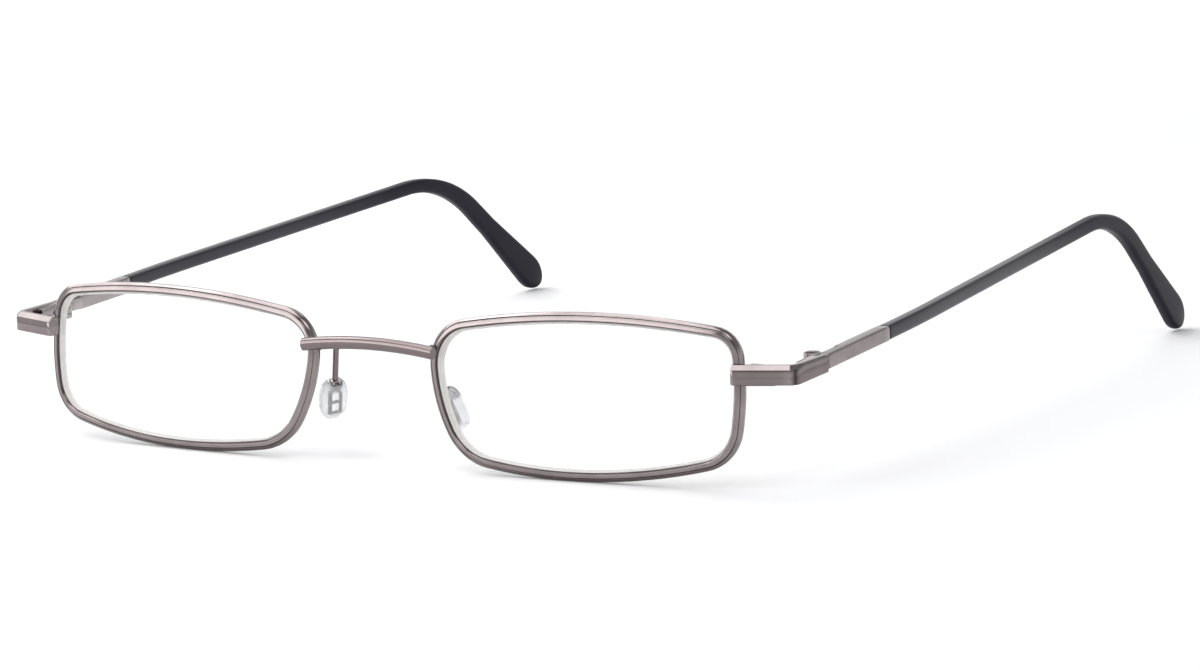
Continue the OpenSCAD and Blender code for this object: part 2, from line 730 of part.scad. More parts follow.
// Thickness of the tip's round end, where its height has shrunk to a share k
end_share = 0.35;
function end_w(k) = tip_w * (end_share + (1 - end_share) * sqrt(k));

function temple_ring(t, w, h, r, steps) = [for (p = bar_section(w, h, r, steps)) temple_point(t, p)];

straight_stops = [bare_l, bare_l + turn_l * 0.2, bare_l + turn_l * 0.4, bare_l + turn_l * 0.6,
    bare_l + turn_l * 0.8, bare_l + turn_l, (bare_l + turn_l + bend_at) / 2];
bend_steps = 12;
tail_stops = [0.25, 0.5, 0.75, 1];
round_end = [for (a = [15 : 15 : 75]) a];

module temple_sleeve(side) {
    outer = concat(
        [for (t = straight_stops) temple_ring(t + joint_gap, temple_w, temple_h, temple_round, 3)],
        [for (i = [0 : bend_steps])
            let (t = bend_at + (paddle_at - bend_at) * i / bend_steps)
            temple_ring(t, sleeve_w(t), sleeve_h(t), sleeve_r(t), 3)],
        [for (f = tail_stops)
            let (t = paddle_at + (temple_end - paddle_at) * f)
            temple_ring(t, sleeve_w(t), sleeve_h(t), sleeve_r(t), 3)],
        [for (a = round_end)
            let (t = temple_end + tip_r * sin(a), k = cos(a))
            temple_ring(t, end_w(k), tip_h * k, min(end_w(k), tip_h * k) * tip_edge, 3)]
    );
    cavity_end = temple_end - core_short + core_gap;
    cavity_stops = concat(
        [for (t = straight_stops) t + joint_gap],
        [for (i = [0 : 2 : bend_steps]) bend_at + (paddle_at - bend_at) * i / bend_steps],
        [cavity_end]
    );
    inner = [for (t = cavity_stops)
        temple_ring(t, core_w + 2 * core_gap, core_h + 2 * core_gap, core_round + core_gap, 3)];
    color(sleeve_black) on_hinge(side) hollow_skin(outer, inner);
}

module temple_bar(side) {
    core_end = temple_end - core_short;
    core_root = 1;
    core_stops = concat([bare_l - core_root], straight_stops,
        [for (i = [0 : 2 : bend_steps]) bend_at + (paddle_at - bend_at) * i / bend_steps],
        [core_end]);
    // The end face leans back with the temple's rise, clear of the endpiece
    bar_start = joint_gap + temple_h / 2 * tan(rise) - axis_back;
    color(gunmetal) on_hinge(side) {
        difference() {
            translate([temple_x, bare_l, 0])
                rotate([90, 0, 0])
                    linear_extrude(bare_l - bar_start)
                        polygon(bar_section(temple_w, temple_h, temple_round));
            translate([-temple_w, -leaf_l, -temple_h])
                cube([temple_w + leaf_clear, 2 * leaf_l + joint_gap, 2 * temple_h]);
        }
        skin([for (t = core_stops) temple_ring(t, core_w, core_h, core_round, 1)]);
    }
}

// Places what is drawn in the pad's frame: x away from the nose, y back, z up the pad
pad_centre = [pad_x, pad_y, front_z - pad_down];
module on_pad(side) {
    on_side(side) translate(pad_centre) rotate([pad_tip, -pad_splay, pad_turn]) children();
}
// A point of the pad's frame, in the glasses' frame
function pad_to_front(p) =
    let (
        a = [p.x, p.y * cos(pad_tip) - p.z * sin(pad_tip), p.y * sin(pad_tip) + p.z * cos(pad_tip)],
        b = [a.x * cos(pad_splay) - a.z * sin(pad_splay), a.y,
            a.x * sin(pad_splay) + a.z * cos(pad_splay)]
    )
    pad_centre + [b.x * cos(pad_turn) - b.y * sin(pad_turn),
        b.x * sin(pad_turn) + b.y * cos(pad_turn), b.z];

box_half = eye_t / 2 + eye_gap + cheek_t;
box_lip = 0.1;
box_w = 2 * eye_r + box_lip;
// The box's slot is open above the eye, under a closed top
box_top_room = 0.2;
rod_start = eye_z + box_h / 2 + box_top_room;

// The arm bends from the back of the rim round to the straight rod above the pad
arm_seat_x = rim_mid_x;
arm_seat = lens_to_front([arm_seat_x, face_y(arm_seat_x, arm_root_z) + rim_d / 2 + joint_gap * 2,
    arm_root_z]) + [0, 0, front_z];
rod_top = pad_to_front([0, 0, rod_start + rod_l]);
rod_dir = pad_to_front([0, 0, 1]) - pad_centre;
// How far the curve is pulled away from the rim and above the rod
arm_pull = [-0.1, 2.2, 0.4];
rod_pull = 1.9;
// Cubic curve from the seat to the rod's top, leaving square and arriving along the rod
function arm_curve(t) =
    let (p1 = arm_seat + arm_pull, p2 = rod_top + rod_dir * rod_pull)
    pow(1 - t, 3) * arm_seat + 3 * t * pow(1 - t, 2) * p1 + 3 * t * t * (1 - t) * p2
        + pow(t, 3) * rod_top;
function unit(v) = v / norm(v);
arm_sides = 12;
arm_steps = 14;
small_step = 0.01;
function arm_dir(t) =
    unit(arm_curve(min(1, t + small_step)) - arm_curve(max(0, t - small_step)));
// Ring across the arm's direction, kept from twisting by one fixed cross axis
arm_cross = [1, 0.2, 0.1];
function arm_ring(c, d, r) =
    let (side = unit(cross(d, arm_cross)), up = cross(side, d))
    [for (j = [0 : arm_sides - 1])
        let (a = 360 * j / arm_sides)
        c + r * (side * cos(a) + up * sin(a))];

module pad_arm(side) {
    // The bent stretch is a hair thinner and runs on inside the rod
    bent_r = arm_r - 0.01;
    run_on = 0.5;
    color(steel) {
        on_side(side) skin(concat(
            [for (i = [0 : arm_steps])
                arm_ring(arm_curve(i / arm_steps), arm_dir(i / arm_steps), bent_r)],
            [arm_ring(rod_top - rod_dir * run_on, -rod_dir, bent_r)]
        ));
        on_pad(side) translate([0, 0, rod_start]) cylinder(r = arm_r, h = rod_l, $fn = round_fn);
    }
}

module pad_box(side) {
    bore_r = pad_pin_r + pad_pin_gap;
    eye_room = 0.1;
    color(steel) on_pad(side) difference() {
        translate([-box_w / 2, -box_half, eye_z - box_h / 2])
            cube([box_w, 2 * box_half, rod_start - joint_gap - eye_z + box_h / 2]);
        translate([-box_w, -eye_t / 2 - eye_gap, eye_z - box_h])
            cube([2 * box_w, eye_t + 2 * eye_gap, box_h + eye_r + eye_room]);
        translate([0, 0, eye_z]) rotate([90, 0, 0])
            cylinder(r = bore_r, h = 4 * box_half, center = true, $fn = round_fn);
    }
}

module pad_screw(side) {
    head_t = 0.3;
    color(steel) on_pad(side) translate([0, box_half + head_t, eye_z]) rotate([90, 0, 0]) {
        cylinder(r = pad_head_r, h = head_t - joint_gap, $fn = round_fn);
        cylinder(r = pad_pin_r, h = head_t + 2 * box_half, $fn = round_fn);
    }
}

// Top of the insert's plate, below the box
insert_high = eye_z - box_h / 2 - insert_gap;

module pad_insert(side) {
    frame_t = 0.45;
    window_w = insert_w - 2 * frame_t;
    window_h = (insert_low + insert_high - 3 * frame_t) / 2;
    color(steel) on_pad(side) difference() {
        union() {
            translate([-insert_t / 2, -insert_w / 2, -insert_low])
                cube([insert_t, insert_w, insert_low + insert_high]);
            translate([-insert_t / 2, -eye_t / 2, 0]) cube([insert_t, eye_t, eye_z]);
            translate([0, 0, eye_z]) rotate([90, 0, 0])
                cylinder(r = eye_r, h = eye_t, center = true, $fn = round_fn);
        }
        for (z = [frame_t - insert_low, insert_high - frame_t - window_h])
            translate([-insert_t, -window_w / 2, z]) cube([2 * insert_t, window_w, window_h]);
        translate([0, 0, eye_z]) rotate([90, 0, 0])
            cylinder(r = pad_pin_r + pad_pin_gap, h = 4 * box_half, center = true, $fn = round_fn);
    }
}

// Rounded silicone body: rings up the pad, each a soft-cornered oval
pad_sides = 20;
// The pad lies this much further from the nose than its insert
pad_shift = 0.35;
// Powers of the ovals: across the pad, along its width and along its thickness
across_power = 0.8;
width_power = 2.6;
thick_power = 3.2;
function oval(a) = sign(cos(a)) * pow(abs(cos(a)), across_power);
function pad_ring(k) =
    let (f = sqrt(1 - pow(abs(k), width_power)), g = sqrt(1 - pow(abs(k), thick_power)))
    [for (j = [0 : pad_sides - 1])
        let (a = -360 * j / pad_sides)
        [pad_shift + pad_t / 2 * g * oval(a), pad_w / 2 * f * oval(a - 90), pad_l / 2 * k]];
pad_levels = [-0.995, -0.96, -0.88, -0.74, -0.55, -0.3, 0, 0.3, 0.55, 0.74, 0.88, 0.96, 0.995];

module nose_pad(side) {
    pocket_low = eye_z - box_h / 2 - rock_gap;
    side_room = 0.6 * rock_gap;
    cheek_room = 1.6 * rock_gap;
    color(clear_silicone) on_pad(side) difference() {
        skin([for (k = pad_levels) pad_ring(k)]);
        translate([-insert_t / 2 - mould_gap, -insert_w / 2 - mould_gap, -insert_low - mould_gap])
            cube([insert_t + 2 * mould_gap, insert_w + 2 * mould_gap, insert_low + pad_l]);
        translate([-box_w / 2 - side_room, -box_half - cheek_room, pocket_low])
            cube([pad_t + box_w, 2 * (box_half + cheek_room), pad_l]);
    }
}

// Front and rear ends of the glasses, which set the origin midway between them
front_end_y = bridge_y - bridge_r;
tip_world_y = axis_y + plan_at(temple_end).y * cos(rise) - height_at(temple_end) * sin(rise) + tip_r;
middle_y = (front_end_y + tip_world_y) / 2;

module placed() {
    translate([0, -middle_y, 0]) children();
}

placed() eyewire(1);  // left_eyewire
placed() eyewire(-1);  // right_eyewire
placed() lens(1);  // left_lens
placed() lens(-1);  // right_lens
placed() bridge();
placed() endpiece(1);  // left_endpiece
placed() endpiece(-1);  // right_endpiece
placed() closing_block_upper(1);  // left_closing_block_upper
placed() closing_block_upper(-1);  // right_closing_block_upper
placed() closing_block_lower(1);  // left_closing_block_lower
placed() closing_block_lower(-1);  // right_closing_block_lower
placed() closing_screw(1);  // left_closing_screw
placed() closing_screw(-1);  // right_closing_screw
placed() front_hinge(1);  // left_front_hinge
placed() front_hinge(-1);  // right_front_hinge
placed() temple_hinge(1);  // left_temple_hinge
placed() temple_hinge(-1);  // right_temple_hinge
placed() hinge_screw(1);  // left_hinge_screw
placed() hinge_screw(-1);  // right_hinge_screw
placed() temple_bar(1);  // left_temple_bar
placed() temple_bar(-1);  // right_temple_bar
placed() temple_sleeve(1);  // left_temple_sleeve
placed() temple_sleeve(-1);  // right_temple_sleeve
placed() pad_arm(1);  // left_pad_arm
placed() pad_arm(-1);  // right_pad_arm
placed() pad_box(1);  // left_pad_box
placed() pad_box(-1);  // right_pad_box
placed() pad_screw(1);  // left_pad_screw
placed() pad_screw(-1);  // right_pad_screw
placed() pad_insert(1);  // left_pad_insert
placed() pad_insert(-1);  // right_pad_insert
placed() nose_pad(1);  // left_nose_pad
placed() nose_pad(-1);  // right_nose_pad
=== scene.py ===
"""Looks of a pair of metal-framed reading glasses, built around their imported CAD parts.

Sizes are in millimetres and degrees, in the part's own frame: the wearer looks along -Y, the
wearer's left is +X and +Z is up. Meshes are stored in metres.
"""
import logging
import math
from dataclasses import dataclass, field
from enum import Enum
from typing import Sequence

import bmesh
import bpy
import numpy as np
from mathutils import Matrix, Vector


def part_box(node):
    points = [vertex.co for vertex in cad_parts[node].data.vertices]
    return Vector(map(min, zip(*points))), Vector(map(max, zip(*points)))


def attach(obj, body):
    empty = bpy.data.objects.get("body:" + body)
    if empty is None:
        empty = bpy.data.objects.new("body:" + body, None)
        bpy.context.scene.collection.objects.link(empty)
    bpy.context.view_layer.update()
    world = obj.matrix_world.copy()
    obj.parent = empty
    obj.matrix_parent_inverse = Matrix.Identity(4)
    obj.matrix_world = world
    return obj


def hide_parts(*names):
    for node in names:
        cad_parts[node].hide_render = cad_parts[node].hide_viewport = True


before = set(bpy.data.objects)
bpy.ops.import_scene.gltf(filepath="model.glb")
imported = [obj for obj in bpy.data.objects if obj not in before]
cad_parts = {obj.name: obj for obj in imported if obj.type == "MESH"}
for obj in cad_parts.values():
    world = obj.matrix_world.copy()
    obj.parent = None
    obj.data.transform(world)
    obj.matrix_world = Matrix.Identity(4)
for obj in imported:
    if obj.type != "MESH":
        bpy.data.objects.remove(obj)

LOG = logging.getLogger("reading_glasses")
MM = 0.001
RUN_SCALE = 0.1  # UV units to a millimetre of the run
WELD = 2e-6  # metres within which a CAD copy's points are merged
FLAT = 1.5  # degrees within which its faces count as one
ROUNDED = 35  # degrees from which its edges are rounded
HARD_EDGE = 40  # degrees from which a finished piece's edges stay hard
Array = np.ndarray
Colour = tuple[float, float, float]
Faces = list[tuple[int, ...]]
Object, Mesh, Material = bpy.types.Object, bpy.types.Mesh, bpy.types.Material
Tree, Node, Socket = bpy.types.NodeTree, bpy.types.Node, bpy.types.NodeSocket


class Side(Enum):
    """The wearer's left or right half, with the sign of its X."""

    LEFT = 1
    RIGHT = -1

    @property
    def label(self) -> str:
        """The word that the half's node and body names start with."""
        return self.name.lower()

    @property
    def flip(self) -> Array:
        """What a left point is multiplied by on this half."""
        return np.array([self.value, 1, 1])


# ------------------------------------------------------------------ meshes


def unit(v: Array) -> Array:
    """A vector, or a row of them, scaled to length one."""
    return v / np.linalg.norm(v, axis=-1, keepdims=True)


def ease(x: Array) -> Array:
    """A smooth step from 0 to 1."""
    return x * x * (3 - 2 * x)


def share(t: Array | float, low: float, high: float) -> Array:
    """How far t lies between two values, held within 0 and 1."""
    return np.clip((np.asarray(t, float) - low) / (high - low), 0, 1)


def corner(x: float, y: float, r: float, start: float, steps: int) -> list[tuple[float, float]]:
    """Points of a quarter round with its centre at x, y, steps edges long, from an angle on."""
    angles = np.radians(start + 90 * np.arange(steps + 1) / steps)
    return [(x + r * math.cos(a), y + r * math.sin(a)) for a in angles]


def bar_section(w: float, h: float, r: float, steps: int) -> Array:
    """A rectangle with rounded corners.

    Args:
        w: Its width.
        h: Its height.
        r: Radius of its corners.
        steps: Edges in each corner.

    Returns:
        Its points, one row each.
    """
    a, b = w / 2 - r, h / 2 - r
    return np.array([p for x, y, start in ((a, b, 0), (-a, b, 90), (-a, -b, 180), (a, -b, 270))
                     for p in corner(x, y, r, start, steps)])


def skin_faces(count: int, around: int) -> Faces:
    """Quads between rings that follow each other.

    Args:
        count: Number of rings.
        around: Points in each ring.

    Returns:
        The faces, as index tuples.
    """
    return [(i * around + j, i * around + (j + 1) % around,
             (i + 1) * around + (j + 1) % around, (i + 1) * around + j)
            for i in range(count - 1) for j in range(around)]


def put(name: str, data: bpy.types.ID) -> Object:
    """Adds an object to the scene.

    Args:
        name: Its name.
        data: Its mesh, lamp or camera.

    Returns:
        The object.
    """
    made = bpy.data.objects.new(name, data)
    bpy.context.scene.collection.objects.link(made)
    return made


def smooth(made: Object, sharp: float = HARD_EDGE) -> Object:
    """Shades an object smooth.

    Args:
        made: The mesh object.
        sharp: Faces that meet at more than this angle keep a hard edge.

    Returns:
        The same object.
    """
    made.data.shade_smooth()
    made.data.set_sharp_from_angle(angle=math.radians(sharp))
    return made


def mark_points(mesh: Mesh, name: str, values: Array) -> None:
    """Keeps a number or a vector for each point of a mesh.

    Args:
        mesh: The mesh.
        name: The attribute's name.
        values: One number, or one row of three, for each point.
    """
    kind, key = ("FLOAT", "value") if values.ndim == 1 else ("FLOAT_VECTOR", "vector")
    mark = mesh.attributes.new(name, kind, "POINT")
    mark.data.foreach_set(key, values.astype(np.float32).ravel())


@dataclass
class Shape:
    """A mesh in the making: points in millimetres, faces, and values per point or face.

    Attributes:
        verts: Points, one row each.
        faces: Index tuples.
        ridge: -1 to 1 per point: above 0 lighter, as edge wear and painted highlight; below 0
            darker, as painted shade in creases and on faces turned down, and a darker tone on
            solder drops.
        run: Distance along the piece and around it, per point.
        coat: Material number per face.
    """

    verts: Array
    faces: Faces
    ridge: Array | None = None
    run: Array | None = None
    coat: list[int] | None = None

    @classmethod
    def swept(cls, rings: Array, ridge: Sequence[float] | Array | None = None) -> "Shape":
        """A closed skin over rings of equal count.

        Args:
            rings: The points, by ring and by place in the ring.
            ridge: Ridge values, one row for all rings or a row for each.

        Returns:
            The shape, with its faces pointing outwards.
        """
        n, m, _ = rings.shape
        faces = skin_faces(n, m) + [tuple(range(m - 1, -1, -1)), tuple(range((n - 1) * m, n * m))]
        step = np.linalg.norm(np.diff(rings.mean(axis=1), axis=0), axis=1)
        along = np.concatenate([[0], np.cumsum(step)])
        middle = rings[n // 2]
        girth = np.linalg.norm(np.diff(middle, axis=0, append=middle[:1]), axis=1)
        around = np.concatenate([[0], np.cumsum(girth)[:-1]])
        run = np.stack([np.repeat(along, m), np.tile(around, n)], axis=1)
        if ridge is not None:
            ridge = np.broadcast_to(np.asarray(ridge, float), (n, m)).ravel()
        return cls(rings.reshape(-1, 3), faces, ridge, run).outward()

    @classmethod
    def ball(cls, centre: Sequence[float], radii: Sequence[float], darkening: float = -0.35,
             sides: int = 20, levels: int = 13, pole: float = 84) -> "Shape":
        """A closed ellipsoid, for a drop of solder.

        Args:
            centre: Its middle.
            radii: Half its size along each axis.
            darkening: Ridge value all over it, which darkens the drop below 0.
            sides: Points in each ring.
            levels: Number of rings.
            pole: Latitude of the last ring, in degrees.

        Returns:
            The ellipsoid.
        """
        a = 2 * np.pi * np.arange(sides) / sides
        rings = [np.stack([centre[0] + radii[0] * math.cos(k) * np.cos(a),
                           centre[1] + radii[1] * math.cos(k) * np.sin(a),
                           np.full(sides, centre[2] + radii[2] * math.sin(k))], -1)
                 for k in np.radians(np.linspace(-pole, pole, levels))]
        return cls.swept(np.array(rings), [darkening] * sides)

    def outward(self) -> "Shape":
        """Turns the faces round where they enclose less than nothing.

        Returns:
            The same shape, its faces pointing outwards.
        """
        volume = 0.0
        for first, *rest in self.faces:
            for b, c in zip(rest, rest[1:]):
                turn = np.cross(self.verts[b], self.verts[c])
                volume += float(np.dot(self.verts[first], turn))
        if volume < 0:
            self.faces = [tuple(reversed(f)) for f in self.faces]
        return self

    def on_side(self, side: Side) -> "Shape":
        """The shape on one half.

        Args:
            side: The half.

        Returns:
            The shape itself on the left, mirrored on the right.
        """
        if side is Side.LEFT:
            return self
        return Shape(self.verts * side.flip, [tuple(reversed(f)) for f in self.faces],
                     self.ridge, self.run, self.coat)

    def build(self, name: str, *materials: Material, sharp: float = 32) -> Object:
        """Makes the Blender object.

        Args:
            name: The piece's name.
            materials: Its materials, in the order that coat counts them.
            sharp: Faces that meet at more than this angle keep a hard edge.

        Returns:
            A mesh object at the origin.
        """
        mesh = bpy.data.meshes.new(name)
        mesh.from_pydata((self.verts * MM).tolist(), [], self.faces)
        for material in materials:
            mesh.materials.append(material)
        if self.coat is not None:
            mesh.polygons.foreach_set("material_index", self.coat)
        if self.ridge is not None:
            mark_points(mesh, "ridge", self.ridge)
        if self.run is not None:
            layer = mesh.uv_layers.new(name="run")
            loops = np.zeros(len(mesh.loops), np.int32)
            mesh.loops.foreach_get("vertex_index", loops)
            layer.data.foreach_set("uv", (self.run[loops] * RUN_SCALE).astype(np.float32).ravel())
        mesh.validate()
        mesh.update()
        return smooth(put(name, mesh), sharp)


def settle(made: Object, body: str, slot: str, *nodes: str) -> None:
    """Puts a finished piece on its body and reports it.

    Args:
        made: The finished piece.
        body: The body that it moves with.
        slot: A material slot's name; not used.
        nodes: The CAD nodes that it stands for.
    """
    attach(made, body)
    if nodes:
        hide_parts(*nodes)
    LOG.info("%s on %s: %d faces", made.name, body, len(made.data.polygons))


def plain_mesh(made: Object, name: str) -> Object:
    """Keeps the result of an object's modifiers and removes the object.

    Args:
        made: The object with live modifiers.
        name: The new piece's name.

    Returns:
        A new object without modifiers.
    """
    bpy.context.view_layer.update()
    graph = bpy.context.evaluated_depsgraph_get()
    mesh = bpy.data.meshes.new_from_object(made.evaluated_get(graph))
    bpy.data.objects.remove(made)
    mesh.name = name
    return put(name, mesh)


def softened(node: str, name: str, material: Material, width: float, segments: int = 2) -> Object:
    """A CAD node's shape with its edges rounded.

    Args:
        node: The CAD node to start from.
        name: The new piece's name.
        material: Its finish.
        width: Width of the edge rounding.
        segments: Faces across each rounding.

    Returns:
        A plain mesh object.
    """
    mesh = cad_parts[node].data.copy()
    mesh.materials.clear()
    for layer in list(mesh.color_attributes):
        mesh.color_attributes.remove(layer)
    shape = bmesh.new()
    shape.from_mesh(mesh)
    bmesh.ops.remove_doubles(shape, verts=shape.verts, dist=WELD)
    bmesh.ops.dissolve_limit(shape, angle_limit=math.radians(FLAT), verts=shape.verts,
                             edges=shape.edges)
    for face in shape.faces:
        face.material_index = 0
        face.smooth = True
    shape.to_mesh(mesh)
    shape.free()
    mesh.materials.append(material)
    made = put(name, mesh)
    round_off = made.modifiers.new("round_off", "BEVEL")
    round_off.width = width * MM
    round_off.segments = segments
    round_off.limit_method = "ANGLE"
    round_off.angle_limit = math.radians(ROUNDED)
    return smooth(plain_mesh(made, name))


# ------------------------------------------------------------------ nodes


def feed(tree: Tree, node: Node, inputs: dict[str | int, object]) -> None:
    """Sets a node's inputs.

    Args:
        tree: The tree that holds the node.
        node: The node.
        inputs: Name or number of each input, to its value or to the socket that feeds it.
    """
    for key, value in inputs.items():
        if isinstance(value, Socket):
            tree.links.new(value, node.inputs[key])
        else:
            node.inputs[key].default_value = value


def add(tree: Tree, kind: str, inputs: dict[str | int, object] | None = None,
        **options: object) -> bpy.types.bpy_prop_collection:
    """Adds a node.

    Args:
        tree: The tree that gets it.
        kind: Its type.
        inputs: What each input gets, as for feed.
        options: Its own properties.

    Returns:
        Its outputs.
    """
    node = tree.nodes.new(kind)
    for key, value in options.items():
        setattr(node, key, value)
    feed(tree, node, inputs or {})
    return node.outputs


def maths(tree: Tree, operation: str, *values: object, clamp: bool = False) -> Socket:
    """The result of a Math node on numbers or sockets."""
    return add(tree, "ShaderNodeMath", dict(enumerate(values)), operation=operation,
               use_clamp=clamp)[0]


def noise(tree: Tree, vector: Socket, scale: object, detail: float, roughness: float) -> Socket:
    """A 3-D noise value between 0 and 1 over a vector."""
    return add(tree, "ShaderNodeTexNoise", {"Vector": vector, "Scale": scale, "Detail": detail,
                                            "Roughness": roughness})["Fac"]


def fade(tree: Tree, value: Socket, *ends: object) -> Socket:
    """A value smoothly stepped from one range to another.

    Args:
        tree: The tree that gets the node.
        value: The socket that is read.
        ends: Start and end of its range, then of the result's.

    Returns:
        The result.
    """
    keys = ("From Min", "From Max", "To Min", "To Max")
    return add(tree, "ShaderNodeMapRange", {"Value": value, **dict(zip(keys, ends))},
               interpolation_type="SMOOTHSTEP")["Result"]


def blend(tree: Tree, factor: Socket, a: object, b: object) -> Socket:
    """A colour between a and b."""
    return add(tree, "ShaderNodeMix", {"Factor": factor, "A": a, "B": b},
               data_type="RGBA")["Result"]


def shaded(tree: Tree, colour: Socket, by: Socket) -> Socket:
    """A colour multiplied by a number."""
    return add(tree, "ShaderNodeVectorMath", {0: colour, "Scale": by}, operation="SCALE")[0]


def spot(tree: Tree) -> Socket:
    """The place on the piece, in Object coordinates."""
    return add(tree, "ShaderNodeTexCoord")["Object"]


def new_tree(name: str, kind: str, inputs: dict[str, object], outputs: Sequence[str]) -> Tree:
    """A node group with named sockets.

    Args:
        name: The group's name.
        kind: ShaderNodeTree or GeometryNodeTree.
        inputs: Name to default value, None for Geometry and Material.
        outputs: Names of what it puts out: Colour, Geometry or the name of a number.

    Returns:
        The group without nodes.
    """
    tree = bpy.data.node_groups.new(name, kind)
    kinds = {float: "Float", int: "Int", tuple: "Color"}
    for key, value in inputs.items():
        word = key if value is None else kinds[type(value)]
        socket = tree.interface.new_socket(name=key, in_out="INPUT",
                                           socket_type="NodeSocket" + word)
        if value is not None:
            socket.default_value = value
    for key in outputs:
        word = {"Colour": "Color", "Geometry": "Geometry"}.get(key, "Float")
        tree.interface.new_socket(name=key, in_out="OUTPUT", socket_type="NodeSocket" + word)
    return tree


def satin_group() -> Tree:
    """Fine plating texture: cloudy tone, a tight grain for bump, edges lightened as wear and
    painted highlight, and painted shade where the ridge value is below 0.

    Returns:
        A shader group that puts out Colour, Roughness and Height.
    """
    tree = new_tree("satin_plating", "ShaderNodeTree", {
        "Grain Scale": 9000.0, "Cloud Scale": 220.0, "Roughness": 0.25, "Roughness Spread": 0.08,
        "Edge Rub": 0.5, "Colour": (0.3, 0.3, 0.3, 1), "Rubbed Colour": (0.5, 0.5, 0.5, 1)},
        ("Colour", "Roughness", "Height"))
    patchiness, tone, least_tone, painted_shade_depth = 1.6, 0.16, 0.92, 0.8
    fine_share, least_rough = 0.06, 0.04
    given, place = add(tree, "NodeGroupInput"), spot(tree)
    grain = noise(tree, place, given["Grain Scale"], 2, 0.6)
    cloud = noise(tree, place, given["Cloud Scale"], 4, 0.6)
    ridge = add(tree, "ShaderNodeAttribute", attribute_name="ridge")["Fac"]
    patchy = maths(tree, "MULTIPLY", ridge, maths(tree, "MULTIPLY", cloud, patchiness))
    # Edge wear and painted highlight: ridge values above 0 lighten towards the worn colour.
    rubbed = maths(tree, "MULTIPLY", patchy, given["Edge Rub"], clamp=True)
    toned = shaded(tree, given["Colour"],
                   maths(tree, "MULTIPLY_ADD", cloud, tone, least_tone))
    # Painted shade: ridge values below 0 darken the colour in creases and on faces turned down; on
    # solder drops it is a darker tone.
    painted_shade = maths(tree, "MINIMUM", maths(tree, "MULTIPLY_ADD", ridge, painted_shade_depth, 1), 1)
    spread = maths(tree, "MULTIPLY", maths(tree, "SUBTRACT", cloud, 0.5),
                   given["Roughness Spread"])
    fine = maths(tree, "MULTIPLY", maths(tree, "SUBTRACT", grain, 0.5), fine_share)
    rough = maths(tree, "ADD", maths(tree, "ADD", given["Roughness"], spread), fine)
    add(tree, "NodeGroupOutput", {
        "Colour": shaded(tree, blend(tree, rubbed, toned, given["Rubbed Colour"]), painted_shade),
        "Roughness": maths(tree, "MAXIMUM", rough, least_rough), "Height": grain})
    return tree


def moulded_group() -> Tree:
    """Skin of a moulded piece: fine matte grain, handled patches, and a polish that fades.

    Returns:
        A shader group that puts out Colour, Roughness, Height and Shine.
    """
    tree = new_tree("moulded_skin", "ShaderNodeTree", {
        "Grain Scale": 5000.0, "Roughness": 0.45, "Roughness Spread": 0.12,
        "Colour": (0.02, 0.02, 0.02, 1), "Handled Colour": (0.03, 0.03, 0.03, 1),
        "Shine From": 0.0, "Shine To": 0.04, "New Shine": 0.75, "Worn Shine": 0.15},
        ("Colour", "Roughness", "Height", "Shine"))
    patch_scale, contrast, offset, fine_share = 90.0, 2.2, -0.6, 0.1
    given, place = add(tree, "NodeGroupInput"), spot(tree)
    grain = noise(tree, place, given["Grain Scale"], 3, 0.65)
    patch = noise(tree, place, patch_scale, 4, 0.5)
    back = add(tree, "ShaderNodeSeparateXYZ", {0: place})["Y"]
    handled = maths(tree, "MULTIPLY_ADD", patch, contrast, offset, clamp=True)
    spread = maths(tree, "MULTIPLY", maths(tree, "SUBTRACT", patch, 0.5),
                   given["Roughness Spread"])
    fine = maths(tree, "MULTIPLY", maths(tree, "SUBTRACT", grain, 0.5), fine_share)
    add(tree, "NodeGroupOutput", {
        "Colour": blend(tree, handled, given["Colour"], given["Handled Colour"]),
        "Roughness": maths(tree, "ADD", maths(tree, "ADD", given["Roughness"], spread), fine),
        "Height": grain,
        "Shine": fade(tree, back, *(given[key] for key in ("Shine From", "Shine To", "New Shine",
                                                           "Worn Shine")))})
    return tree


# ------------------------------------------------------------------ finishes


def new_material(name: str) -> tuple[Material, Tree, Node]:
    """Starts a node material.

    Args:
        name: Its name.

    Returns:
        The material, its tree and its bare Principled BSDF.
    """
    made = bpy.data.materials.new(name)
    made.use_nodes = True
    return made, made.node_tree, made.node_tree.nodes["Principled BSDF"]


def bump(tree: Tree, height: Socket, depth: float) -> Socket:
    """The normal of a Bump node over a height, depth millimetres deep."""
    return add(tree, "ShaderNodeBump", {"Strength": 1, "Distance": depth * MM,
                                        "Height": height})["Normal"]


@dataclass(frozen=True)
class PlatedMetal:
    """Satin metal plating.

    Attributes:
        name: The material's name.
        colour: Reflected colour, linear.
        rubbed: Colour along worn edges and painted highlights.
        roughness: Mean roughness.
        spread: How much the roughness wanders.
        grain: Depth of the grain, in millimetres.
        rub: Strength of the worn edges and painted highlights.
    """

    name: str
    colour: Colour
    rubbed: Colour
    roughness: float
    spread: float = 0.08
    grain: float = 0.0006
    rub: float = 0.45

    def material(self, satin: Tree) -> Material:
        """Builds the material.

        Args:
            satin: The shared plating group.

        Returns:
            The material.
        """
        made, tree, shader = new_material(self.name)
        skin = add(tree, "ShaderNodeGroup", {
            "Colour": (*self.colour, 1), "Rubbed Colour": (*self.rubbed, 1),
            "Roughness": self.roughness, "Roughness Spread": self.spread,
            "Edge Rub": self.rub}, node_tree=satin)
        feed(tree, shader, {"Base Color": skin["Colour"], "Roughness": skin["Roughness"],
                            "Metallic": 1, "Normal": bump(tree, skin["Height"], self.grain)})
        return made


